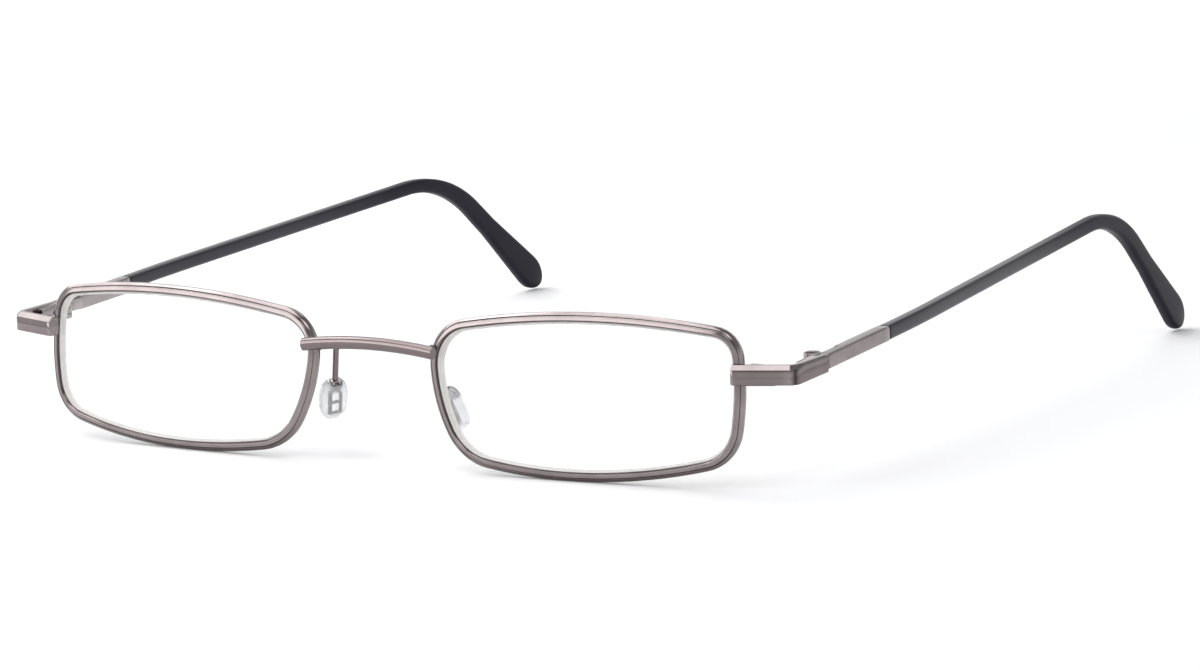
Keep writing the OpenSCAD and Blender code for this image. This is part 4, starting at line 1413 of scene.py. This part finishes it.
    def bar(self) -> Shape:
        """The left bar, its ends rounded off a little, with a painted highlight on its end at the
        rim, a painted glint before its corner and painted shade in the corner's groove.

        Returns:
            The closed bar.
        """
        rows, n = self.stations(), len(self.end_rounds)
        rings = [self.ring(rows[0], inset, shift) for shift, inset in self.end_rounds]
        rings += [self.ring(s) for s in rows[1:-1]]
        rings += [self.ring(rows[-1], inset * self.seam_inset, -shift * self.seam_shift)
                  for shift, inset in self.end_rounds[::-1]]
        marks = np.tile(self.marks, (len(rings), 1))
        # Painted highlight on the rounded end at the rim.
        marks[:n] = np.maximum(marks[:n], self.strong)
        x, heading = rows[1:-1, 0], rows[1:-1, 2]
        # Painted glint: face and bevel lightened at the glint's heading in the turn and towards
        # the run's end.
        painted_glint = np.where(heading > self.bar_slant + 0.1,
                       np.exp(-((heading - self.glint_at) / self.glint_w) ** 2),
                       np.exp(-abs(x - rows[self.run_rings, 0]) / self.glint_run))[:, None]
        marks[n:-n, :6] += painted_glint * (self.strong - marks[n:-n, :6])
        # Painted shade in the corner's groove: the marks there fall towards minus the strength.
        marks[n:-n, :7] -= self.valley(heading)[:, None] * (self.strong + marks[n:-n, :7])
        return Shape.swept(np.array(rings), marks)

    def build(self, side: Side, screws: Tree, palette: Palette) -> None:
        """Makes one bar with its closing blocks and screw.

        Args:
            side: The half.
            screws: The screws' node tree.
            palette: The finishes.
        """
        name = side.label + "_endpiece"
        made = self.bar().on_side(side).build("bar_of_" + name, palette["gunmetal"], sharp=38)
        settle(made, "front", "frame_metal", name)
        for part in ("upper", "lower"):
            node = f"{side.label}_closing_block_{part}"
            made = softened(node, f"{side.label}_{part}_block", palette["gunmetal"],
                            self.block_edge, 3)
            settle(made, "front", "frame_metal", node)
        node = side.label + "_closing_screw"
        low, high = (np.array(v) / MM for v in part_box(node))
        top = np.append(((low + high) / 2)[:2], low[2])
        screw = Screw(head_r=0.82, head_h=self.screw_head, shank_r=0.5,
                      shank_l=high[2] - low[2] - self.screw_head, slot_w=0.22, slot_h=0.14,
                      slot_turn=20)
        made = screw.build(screws, side.label + "_lock_screw", top, np.array([0.0, 0, -1]),
                           palette["steel"])
        settle(made, "front", "fittings", node)


# ------------------------------------------------------------------ hinges and temples


@dataclass
class Temples:
    """The folding temples: hinge knuckles, bare metal bar and moulded sleeve."""

    ends: Endpieces
    swing_gap: float = 0.1
    barrel_r: float = 1.25
    axis_back: float = 0.2
    joint_gap: float = 0.05
    hinge_h: float = 2.5
    temple_w: float = 2.15
    temple_h: float = 2.2
    temple_round: float = 0.36
    rise: float = 3.4
    bare_l: float = 18.1
    turn_in: float = 3.6
    turn_l: float = 17
    bend_at: float = 92.2
    bend_r: float = 26
    bend_a: float = 43.1
    tip_h: float = 5.6
    tip_w: float = 1.95
    leaf_l: float = 5.2
    paddle_share: float = 0.62
    tip_edge: float = 0.42
    tip_reach: float = 1.7
    tip_flat: float = 0.35
    paddle_from: float = 1.3
    hollow_rings: int = 6
    bare_rings: int = 10
    straight_rings: int = 60
    bend_rings: int = 40
    paddle_rings: int = 14
    tip_rings: int = 22
    sleeve_round: float = 0.6
    knuckle_edge: float = 0.06
    head_deep: float = 0.17
    start_rounds: tuple[tuple[float, float], ...] = ((0, 0.12), (0.04, 0.04), (0.13, 0))
    end_rounds: tuple[tuple[float, float], ...] = ((-0.05, 0.05), (0, 0.14))
    screw: Screw = field(default_factory=lambda: Screw(
        head_r=0.9, head_h=0.09, shank_r=0.56, shank_l=2.16, slot_w=0.22, slot_h=0.06,
        slot_turn=35))

    def __post_init__(self) -> None:
        """Works out the hinge axis and the temple's line."""
        e = self.ends
        self.axis = np.array([e.outer_x - e.bar_t - self.swing_gap - self.barrel_r,
                              e.seam_y + self.axis_back - e.rims.middle_y,
                              e.cut_level + e.hinge_up])
        self.line_x = e.outer_x - self.axis[0] - self.temple_w / 2
        self.turn_r = self.turn_l / math.radians(self.turn_in)
        bend_len = self.bend_r * math.radians(self.bend_a)
        self.bend_end = self.bend_at + bend_len
        self.paddle_at = self.bend_at + bend_len * self.paddle_from
        rise, bend, turn = (math.radians(v) for v in (self.rise, self.bend_a, self.turn_in))
        end = self.plan(np.array([self.bend_end]))[0]
        low = (self.axis[2] + end[1] * math.sin(rise)
               + self.bend_r * (math.cos(bend) - 1) * math.cos(rise))
        slope = math.sin(bend) * math.cos(rise) - math.cos(bend) * math.cos(turn) * math.sin(rise)
        self.end = self.bend_end + (low - self.tip_h / 2) / slope

    def drop(self, t: Array) -> Array:
        """Downward turn of the line at t, in radians."""
        return math.radians(self.bend_a) * share(t, self.bend_at, self.bend_end)

    def turn(self, t: Array) -> Array:
        """Inward turn of the line at t, in radians."""
        return math.radians(self.turn_in) * share(t, self.bare_l, self.bare_l + self.turn_l)

    def plan(self, t: Array) -> Array:
        """The centre line seen from above.

        Args:
            t: Distances along the temple.

        Returns:
            Rows of x outwards and y back from the hinge axis.
        """
        q = (np.minimum(t, self.bend_at) + self.bend_r * np.sin(self.drop(t))
             + np.maximum(0, t - self.bend_end) * math.cos(math.radians(self.bend_a)))
        a, full = self.turn(t), math.radians(self.turn_in)
        rest = np.maximum(0, q - self.bare_l - self.turn_l)
        x = self.line_x - self.turn_r * (1 - np.cos(a)) - rest * math.sin(full)
        y = self.bare_l + self.turn_r * np.sin(a) + rest * math.cos(full)
        straight = q < self.bare_l
        return np.stack([np.where(straight, self.line_x, x), np.where(straight, q, y)], -1)

    def rings(self, t: Array, sections: Sequence[Array]) -> Array:
        """Rings along the temple.

        Args:
            t: Their distances along it.
            sections: Their sections, x outwards and y up.

        Returns:
            The rings, in the part's frame.
        """
        c, a, d = self.plan(t), self.turn(t), self.drop(t)
        height = (self.bend_r * (np.cos(d) - 1)
                  - np.maximum(0, t - self.bend_end) * math.sin(math.radians(self.bend_a)))
        rows = []
        for i, section in enumerate(sections):
            x, z = section[:, 0], section[:, 1]
            rows.append(np.stack([
                c[i, 0] + x * math.cos(a[i]) - z * math.sin(d[i]) * math.sin(a[i]),
                c[i, 1] + x * math.sin(a[i]) + z * math.sin(d[i]) * math.cos(a[i]),
                height[i] + z * math.cos(d[i])], -1))
        return self.to_part(np.array(rows))

    def to_part(self, p: Array) -> Array:
        """Moves points of the left hinge's frame to the part's frame.

        Args:
            p: The points.

        Returns:
            The moved points.
        """
        r = math.radians(self.rise)
        return self.axis + np.stack([
            p[..., 0], p[..., 1] * math.cos(r) - p[..., 2] * math.sin(r),
            p[..., 1] * math.sin(r) + p[..., 2] * math.cos(r)], -1)

    def bar_profile(self, inset: float, cut: float | None) -> Array:
        """The temple bar's section.

        Args:
            inset: How far it is drawn in.
            cut: The least x outwards from the axis that is left, None for all of it.

        Returns:
            Its points.
        """
        section = bar_section(self.temple_w - 2 * inset, self.temple_h - 2 * inset,
                              max(0.05, self.temple_round - inset), 6)
        if cut is not None:
            section[:, 0] = np.maximum(section[:, 0], cut - self.line_x)
        return section

    def bar(self) -> Shape:
        """The left bare bar, from the seam at the endpiece to the sleeve, hollowed by the hinge.

        Returns:
            The closed bar.
        """
        lean = self.temple_h / 2 * math.tan(math.radians(self.rise))
        start = self.joint_gap + lean - self.axis_back
        clear = self.barrel_r + self.swing_gap
        inner_end = self.leaf_l + self.joint_gap
        stops = [(start + t, inset, clear) for t, inset in self.start_rounds]
        stops += [(t, 0, clear)
                  for t in np.linspace(start + 0.5, inner_end - 0.02, self.hollow_rings)]
        stops += [(t, 0, None) for t in np.append(
            inner_end, np.linspace(inner_end + 0.5, self.bare_l - 0.16, self.bare_rings))]
        stops += [(self.bare_l + t, inset, None) for t, inset in self.end_rounds]
        rings = self.rings(np.array([s[0] for s in stops]),
                           [self.bar_profile(inset, cut) for _, inset, cut in stops])
        return Shape.swept(rings, [1.0] * rings.shape[1])

    def sleeve_size(self, t: Array) -> tuple[Array, Array, Array]:
        """The sleeve's section.

        Args:
            t: Distances along the temple.

        Returns:
            Width, height and edge radius at each distance.
        """
        k = ease(share(t, self.bend_at, self.paddle_at))
        w = self.temple_w + (self.tip_w - self.temple_w) * k
        h = (self.temple_h + (self.tip_h * self.paddle_share - self.temple_h) * k
             + self.tip_h * (1 - self.paddle_share) * share(t, self.paddle_at, self.end))
        r = self.sleeve_round + (self.tip_w * self.tip_edge - self.sleeve_round) * k
        return w, h, r

    def sleeve(self) -> Shape:
        """The left sleeve, from the bare metal to its rounded paddle tip.

        Returns:
            The closed sleeve.
        """
        begin = self.bare_l + self.joint_gap
        last = self.end + self.tip_h / 2
        reach = self.tip_h / 2 * self.tip_reach
        turn = np.sin(np.radians(np.linspace(4, 88, self.tip_rings)))
        t = np.concatenate([[begin, begin + 0.05, begin + 0.15],
                            np.linspace(begin + 0.6, self.bend_at, self.straight_rings),
                            np.linspace(self.bend_at, self.paddle_at, self.bend_rings)[1:],
                            np.linspace(self.paddle_at, last - reach, self.paddle_rings)[1:],
                            last - reach + reach * turn])
        inset = np.zeros(len(t))
        inset[:2] = (0.12, 0.04)
        w, h, r = self.sleeve_size(t)
        k = np.sqrt(1 - share(t, last - reach, last) ** 2)
        w = w * (self.tip_flat + (1 - self.tip_flat) * np.sqrt(k)) - 2 * inset
        h = h * k - 2 * inset
        r = np.maximum(0.05, np.minimum(r, np.minimum(w, h) * self.tip_edge) - inset)
        sections = [bar_section(*size, 6) for size in zip(w, h, r)]
        return Shape.swept(self.rings(t, sections), [0.0] * len(sections[0]))

    def build(self, side: Side, screws: Tree, palette: Palette) -> None:
        """Makes one temple and its hinge.

        Args:
            side: The half.
            screws: The screws' node tree.
            palette: The finishes.
        """
        label = side.label
        body = label + "_temple"
        made = self.bar().on_side(side).build(label + "_bare_bar", palette["gunmetal"], sharp=38)
        settle(made, body, "frame_metal", label + "_temple_bar")
        made = self.sleeve().on_side(side).build(label + "_moulded_sleeve", palette["sleeve"],
                                                 sharp=50)
        settle(made, body, "sleeve", label + "_temple_sleeve")
        for node, name, rides in (("_front_hinge", "_outer_knuckles", "front"),
                                  ("_temple_hinge", "_middle_knuckle", body)):
            made = softened(label + node, label + name, palette["polished"], self.knuckle_edge)
            settle(made, rides, "frame_metal", label + node)
        up = self.to_part(np.array([0.0, 0, 1])) - self.axis
        top = self.axis + up * (self.hinge_h / 2 - self.head_deep)
        made = self.screw.build(screws, label + "_pivot_screw", top * side.flip, up * side.flip,
                                palette["steel"])
        settle(made, "front", "fittings", label + "_hinge_screw")


# ------------------------------------------------------------------ nose pads


@dataclass
class NosePads:
    """The pads with their arms, boxes, screws and inserts."""

    rims: Rims
    arm_r: float = 0.45
    arm_root_z: float = 4.5
    pad_x: float = 10.64
    pad_y: float = 4.87
    pad_down: float = 4.1
    pad_turn: float = 28
    pad_splay: float = 20
    pad_tip: float = 6
    pad_l: float = 7.0
    pad_w: float = 4.4
    pad_t: float = 2.9
    pad_shift: float = 0.35
    eye_z: float = 2.5
    box_h: float = 1.4
    eye_t: float = 0.6
    eye_gap: float = 0.05
    cheek_t: float = 0.35
    eye_r: float = 0.55
    rock_gap: float = 0.35
    rod_l: float = 4.9
    joint_gap: float = 0.05
    arm_pull: tuple[float, float, float] = (-0.1, 2.2, 0.4)
    rod_pull: float = 1.9
    solder: tuple[float, float, float] = (0.62, 0.32, 0.7)
    levels: int = 33
    sides: int = 40
    pole: float = 0.07
    squareness: float = 0.8
    face_round: float = 3.2
    end_round: float = 2.6
    pocket_round: float = 0.35
    head_out: float = 0.3
    rod_up: float = 0.2
    room_behind: float = 0.4
    room_beside: float = 0.6
    bend_points: int = 28
    rod_points: int = 12
    box_edge: float = 0.05
    insert_edge: float = 0.04

    def __post_init__(self) -> None:
        """Works out the pad's place and the height of the rod."""
        self.centre = np.array([self.pad_x, self.pad_y - self.rims.middle_y,
                                self.rims.front_z - self.pad_down])
        self.rod_start = self.eye_z + self.box_h / 2 + self.rod_up
        self.box_half = self.eye_t / 2 + self.eye_gap + self.cheek_t
        self.box_w = 2 * self.eye_r + 0.1

    def to_part(self, p: Array) -> Array:
        """Moves points of the left pad's frame to the part's frame.

        Args:
            p: The points.

        Returns:
            The moved points.
        """
        spin = Matrix.Identity(3)
        for angle, axis in ((self.pad_turn, "Z"), (-self.pad_splay, "Y"), (self.pad_tip, "X")):
            spin = spin @ Matrix.Rotation(math.radians(angle), 3, axis)
        return self.centre + p @ np.array(spin).T

    def arm_path(self) -> Array:
        """Centre line of the left arm.

        Returns:
            Points from the rim round to the end of the rod.
        """
        r = self.rims
        x = -r.lens_w / 2 - r.rim_t / 2
        y = r.face_y(x, self.arm_root_z) + r.rim_d / 2
        seat = r.to_front(np.array([x, y + self.joint_gap * 2, self.arm_root_z]))
        top = self.to_part(np.array([0.0, 0, self.rod_start + self.rod_l]))
        end = self.to_part(np.array([0.0, 0, self.rod_start]))
        p1, p2 = seat + np.array(self.arm_pull), top + unit(top - end) * self.rod_pull
        t = np.linspace(0, 1, self.bend_points)[:, None]
        bend = ((1 - t) ** 3 * seat + 3 * t * (1 - t) ** 2 * p1 + 3 * t ** 2 * (1 - t) * p2
                + t ** 3 * top)
        down = np.linspace(0, 1, self.rod_points)[1:, None]
        return np.concatenate([bend, top + (end - top) * down])

    def body(self) -> Shape:
        """The left pad's silicone body before its pocket is cut.

        Returns:
            A round-cornered oval, closed.
        """
        top, sides = math.pi / 2 - self.pole, self.sides
        levels = np.sin(np.linspace(-top, top, self.levels))
        a = -2 * np.pi * np.arange(sides) / sides

        def oval(v: Array) -> Array:
            """A softened cosine, for a round-cornered oval."""
            return np.sign(v) * np.abs(v) ** self.squareness

        rings = [np.stack([
            self.pad_shift
            + self.pad_t / 2 * math.sqrt(1 - abs(k) ** self.face_round) * oval(np.cos(a)),
            self.pad_w / 2 * math.sqrt(1 - abs(k) ** self.end_round) * oval(np.sin(a)),
            np.full(sides, self.pad_l / 2 * k)], -1) for k in levels]
        return Shape.swept(self.to_part(np.array(rings)))

    def pocket(self) -> Shape:
        """The left pocket: room for the box and the arm.

        Returns:
            A closed block with rounded edges.
        """
        low = self.eye_z - self.box_h / 2 - self.rock_gap
        x0, x1 = -self.box_w / 2 - self.room_behind * self.rock_gap, self.pad_t + self.box_w
        half = self.box_half + self.room_beside * self.rock_gap
        section = bar_section(x1 - x0, 2 * half, self.pocket_round, 5)
        section += np.array([(x0 + x1) / 2, 0])
        rings = [np.column_stack([section, np.full(len(section), z)])
                 for z in (low, low + self.pad_l)]
        return Shape.swept(self.to_part(np.array(rings)))

    def soft_pad(self, side: Side, silicone: Material) -> Object:
        """The pad with its pocket cut out.

        Args:
            side: The half that it is on.
            silicone: Its finish.

        Returns:
            A plain mesh object.
        """
        name = side.label + "_soft_pad"
        pad = self.body().on_side(side).build(name + "_whole", silicone, sharp=60)
        room = self.pocket().on_side(side).build(side.label + "_pad_room", silicone, sharp=60)
        cut = pad.modifiers.new("pocket", "BOOLEAN")
        cut.operation = "DIFFERENCE"
        cut.solver = "EXACT"
        cut.object = room
        pad = plain_mesh(pad, name)
        bpy.data.objects.remove(room)
        pad.data.set_sharp_from_angle(angle=math.radians(HARD_EDGE))
        return pad

    def build(self, side: Side, wire: Tree, screws: Tree, palette: Palette) -> None:
        """Makes one pad with everything that holds it.

        Args:
            side: The half.
            wire: The wires' node tree.
            screws: The screws' node tree.
            palette: The finishes.
        """
        label, path = side.label, self.arm_path()
        made = wire_piece(wire, label + "_bent_arm", path * side.flip, self.arm_r,
                          palette["gunmetal"])
        settle(made, "front", "fittings", label + "_pad_arm")
        drop = Shape.ball(path[0], self.solder)
        made = drop.on_side(side).build(label + "_arm_solder", palette["gunmetal"])
        settle(made, "front", "fittings")
        for node, name, finish, edge, body in (
                ("_pad_box", "_arm_box", "polished", self.box_edge, "front"),
                ("_pad_insert", "_ladder_insert", "gunmetal", self.insert_edge,
                 label + "_pad")):
            settle(softened(label + node, label + name, palette[finish], edge), body, "fittings",
                   label + node)
        top = self.to_part(np.array([0, self.box_half + self.head_out, self.eye_z]))
        way = top - self.to_part(np.array([0, 0, self.eye_z]))
        screw = Screw(head_r=0.5, head_h=0.25, shank_r=0.28,
                      shank_l=2 * self.box_half + 0.05, slot_w=0.16, slot_h=0.1,
                      slot_turn=15)
        made = screw.build(screws, label + "_rocking_screw", top * side.flip, way * side.flip,
                           palette["steel"])
        settle(made, "front", "fittings", label + "_pad_screw")
        settle(self.soft_pad(side, palette["silicone"]), label + "_pad", "pad",
               label + "_nose_pad")


# ------------------------------------------------------------------ studio


@dataclass(frozen=True)
class Lamp:
    """One soft lamp: its place, what it aims at and its size, in millimetres, and its watts."""

    name: str
    place: tuple[float, float, float]
    aim: tuple[float, float, float]
    size: tuple[float, float]
    power: float

    def build(self) -> None:
        """Adds the area lamp."""
        data = bpy.data.lights.new(self.name, "AREA")
        data.shape = "RECTANGLE"
        data.size, data.size_y = self.size[0] * MM, self.size[1] * MM
        data.energy = self.power
        lamp = put(self.name, data)
        lamp.location = Vector(self.place) * MM
        way = Vector(self.aim) * MM - lamp.location
        lamp.rotation_euler = way.to_track_quat("-Z", "Y").to_euler()


@dataclass
class Studio:
    """Floor, backdrop, lamps and the camera.

    Attributes:
        azimuth, elevation, roll: The photograph's viewing angle.
        target, distance, lens: What the camera looks at, from how far, and its focal length.
        middle_y: How far the part's frame lies behind the one that target is in.
        floor_half: Half the floor's width, in metres.
        near_glow, far_glow: The floor's own light round the object and far from it.
        near, far: Where the glow starts to rise and is full, in metres.
        ceiling: Height from which the reflected backdrop dims, where it is dimmest, and its
            strength at both.
        soft: Strength of the backdrop as a light.
        lamps: The soft lamps.
    """

    azimuth: float = 31.71
    elevation: float = 9.84
    roll: float = -2.14
    target: tuple[float, float, float] = (38.80, 0, 21.457)
    distance: float = 811.74
    lens: float = 171.505
    middle_y: float = 70.1509
    floor_half: float = 3.0
    near_glow: float = 0.09
    far_glow: float = 0.9
    near: float = 0.25
    far: float = 0.8
    ceiling: tuple[float, ...] = (0.18, 0.6, 1, 0.35)
    soft: float = 0.3
    lamps: tuple[Lamp, ...] = (
        Lamp("key_softbox", (-160, 360, 640), (0, 0, 10), (520, 520), 1.1),
        Lamp("left_softbox", (-530, 30, 445), (0, -50, 15), (520, 440), 1.8),
        Lamp("overhead_softbox", (-240, -160, 650), (0, 0, 10), (700, 460), 2.5),
        Lamp("front_softbox", (-416, -600, 312), (0, -50, 15), (820, 440), 3.1),
        Lamp("corner_softbox", (290, -350, 600), (0, -50, 15), (300, 240), 0.5),
    )

    def camera(self) -> None:
        """Puts the camera at the photograph's angle."""
        az, el, roll = (math.radians(v) for v in (self.azimuth, self.elevation, self.roll))
        across = Vector((math.cos(az), math.sin(az), 0))
        ahead = Vector((-math.sin(az) * math.cos(el), math.cos(az) * math.cos(el), -math.sin(el)))
        up = across.cross(ahead)
        right = across * math.cos(roll) + up * math.sin(roll)
        top = -across * math.sin(roll) + up * math.cos(roll)
        target = Vector(self.target) - Vector((0, self.middle_y, 0))
        data = bpy.data.cameras.new("photo_camera")
        data.sensor_fit = "HORIZONTAL"
        data.sensor_width = 36
        data.lens = self.lens
        data.clip_start, data.clip_end = 0.01, 20
        camera = put("photo_camera", data)
        turn = Matrix((right, top, -ahead)).transposed().to_4x4()
        camera.matrix_world = Matrix.Translation((target - ahead * self.distance) * MM) @ turn
        bpy.context.scene.camera = camera

    @staticmethod
    def plain_rays(tree: Tree) -> Socket:
        """1 for rays that come straight from the camera or through glass."""
        path = add(tree, "ShaderNodeLightPath")
        return maths(tree, "MAXIMUM", path["Is Camera Ray"], path["Is Transmission Ray"])

    @staticmethod
    def seen_rays(tree: Tree) -> Socket:
        """Picks the rays that show the backdrop.

        Args:
            tree: The tree that gets the nodes.

        Returns:
            1 for rays from the camera, off metal or through glass.
        """
        path = add(tree, "ShaderNodeLightPath")
        total = maths(tree, "ADD", path["Is Camera Ray"], path["Is Glossy Ray"])
        return maths(tree, "ADD", total, path["Is Transmission Ray"], clamp=True)

    def floor(self) -> None:
        """A pale floor that keeps the object's shadow and meets the white backdrop unseen."""
        mesh = bpy.data.meshes.new("studio_floor")
        mesh.from_pydata([(x * self.floor_half, y * self.floor_half, 0)
                          for x, y in ((-1, -1), (1, -1), (1, 1), (-1, 1))], [], [(0, 1, 2, 3)])
        made, tree, shader = new_material("pale_floor")
        feed(tree, shader, {"Base Color": (0.86, 0.86, 0.865, 1), "Roughness": 0.7,
                            "Specular IOR Level": 0.1})
        reach = add(tree, "ShaderNodeVectorMath", {0: spot(tree)}, operation="LENGTH")["Value"]
        rising = fade(tree, reach, self.near, self.far, self.near_glow, self.far_glow)
        near = maths(tree, "MULTIPLY", self.seen_rays(tree), self.near_glow)
        glow = maths(tree, "MAXIMUM", near,
                     maths(tree, "MULTIPLY", self.plain_rays(tree), rising))
        light = add(tree, "ShaderNodeEmission", {"Strength": glow})[0]
        both = add(tree, "ShaderNodeAddShader", {0: shader.outputs[0], 1: light})[0]
        feed(tree, tree.nodes["Material Output"], {"Surface": both})
        mesh.materials.append(made)
        put("studio_floor", mesh)

    def backdrop(self) -> None:
        """White for the camera and glass, paling to a dim ceiling in metal; soft as light."""
        world = bpy.data.worlds.new("white_backdrop")
        world.use_nodes = True
        tree = world.node_tree
        tree.nodes.clear()
        way = add(tree, "ShaderNodeTexCoord")["Generated"]
        height = add(tree, "ShaderNodeSeparateXYZ", {0: way})["Z"]
        ceiling = fade(tree, height, *self.ceiling)
        light = add(tree, "ShaderNodeBackground", {"Color": (0.96, 0.97, 1, 1),
                                                   "Strength": self.soft})
        white = add(tree, "ShaderNodeBackground", {
            "Color": (1, 1, 1, 1),
            "Strength": maths(tree, "MAXIMUM", self.plain_rays(tree), ceiling)})
        pick = add(tree, "ShaderNodeMixShader", {0: self.seen_rays(tree), 1: light[0],
                                                 2: white[0]})
        add(tree, "ShaderNodeOutputWorld", {"Surface": pick[0]})
        bpy.context.scene.world = world

    def build(self) -> None:
        """Sets the whole studio."""
        bpy.context.scene.view_settings.view_transform = "Standard"
        self.camera()
        self.floor()
        self.backdrop()
        for lamp in self.lamps:
            lamp.build()


def main() -> None:
    """Builds the studio and every sub-assembly, in order."""
    logging.basicConfig(level=logging.INFO, format="%(message)s")
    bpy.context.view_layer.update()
    Studio().build()
    palette = Palette()
    palette.build()
    wire, screws = wire_tree(), screw_tree()
    rims = Rims()
    ends = Endpieces(rims)
    temples = Temples(ends)
    pads = NosePads(rims)
    Bridge(rims).build(wire, palette)
    for side in Side:
        rims.build(side, palette)
        ends.build(side, screws, palette)
        temples.build(side, screws, palette)
        pads.build(side, wire, screws, palette)


if __name__ == "__main__":
    main()
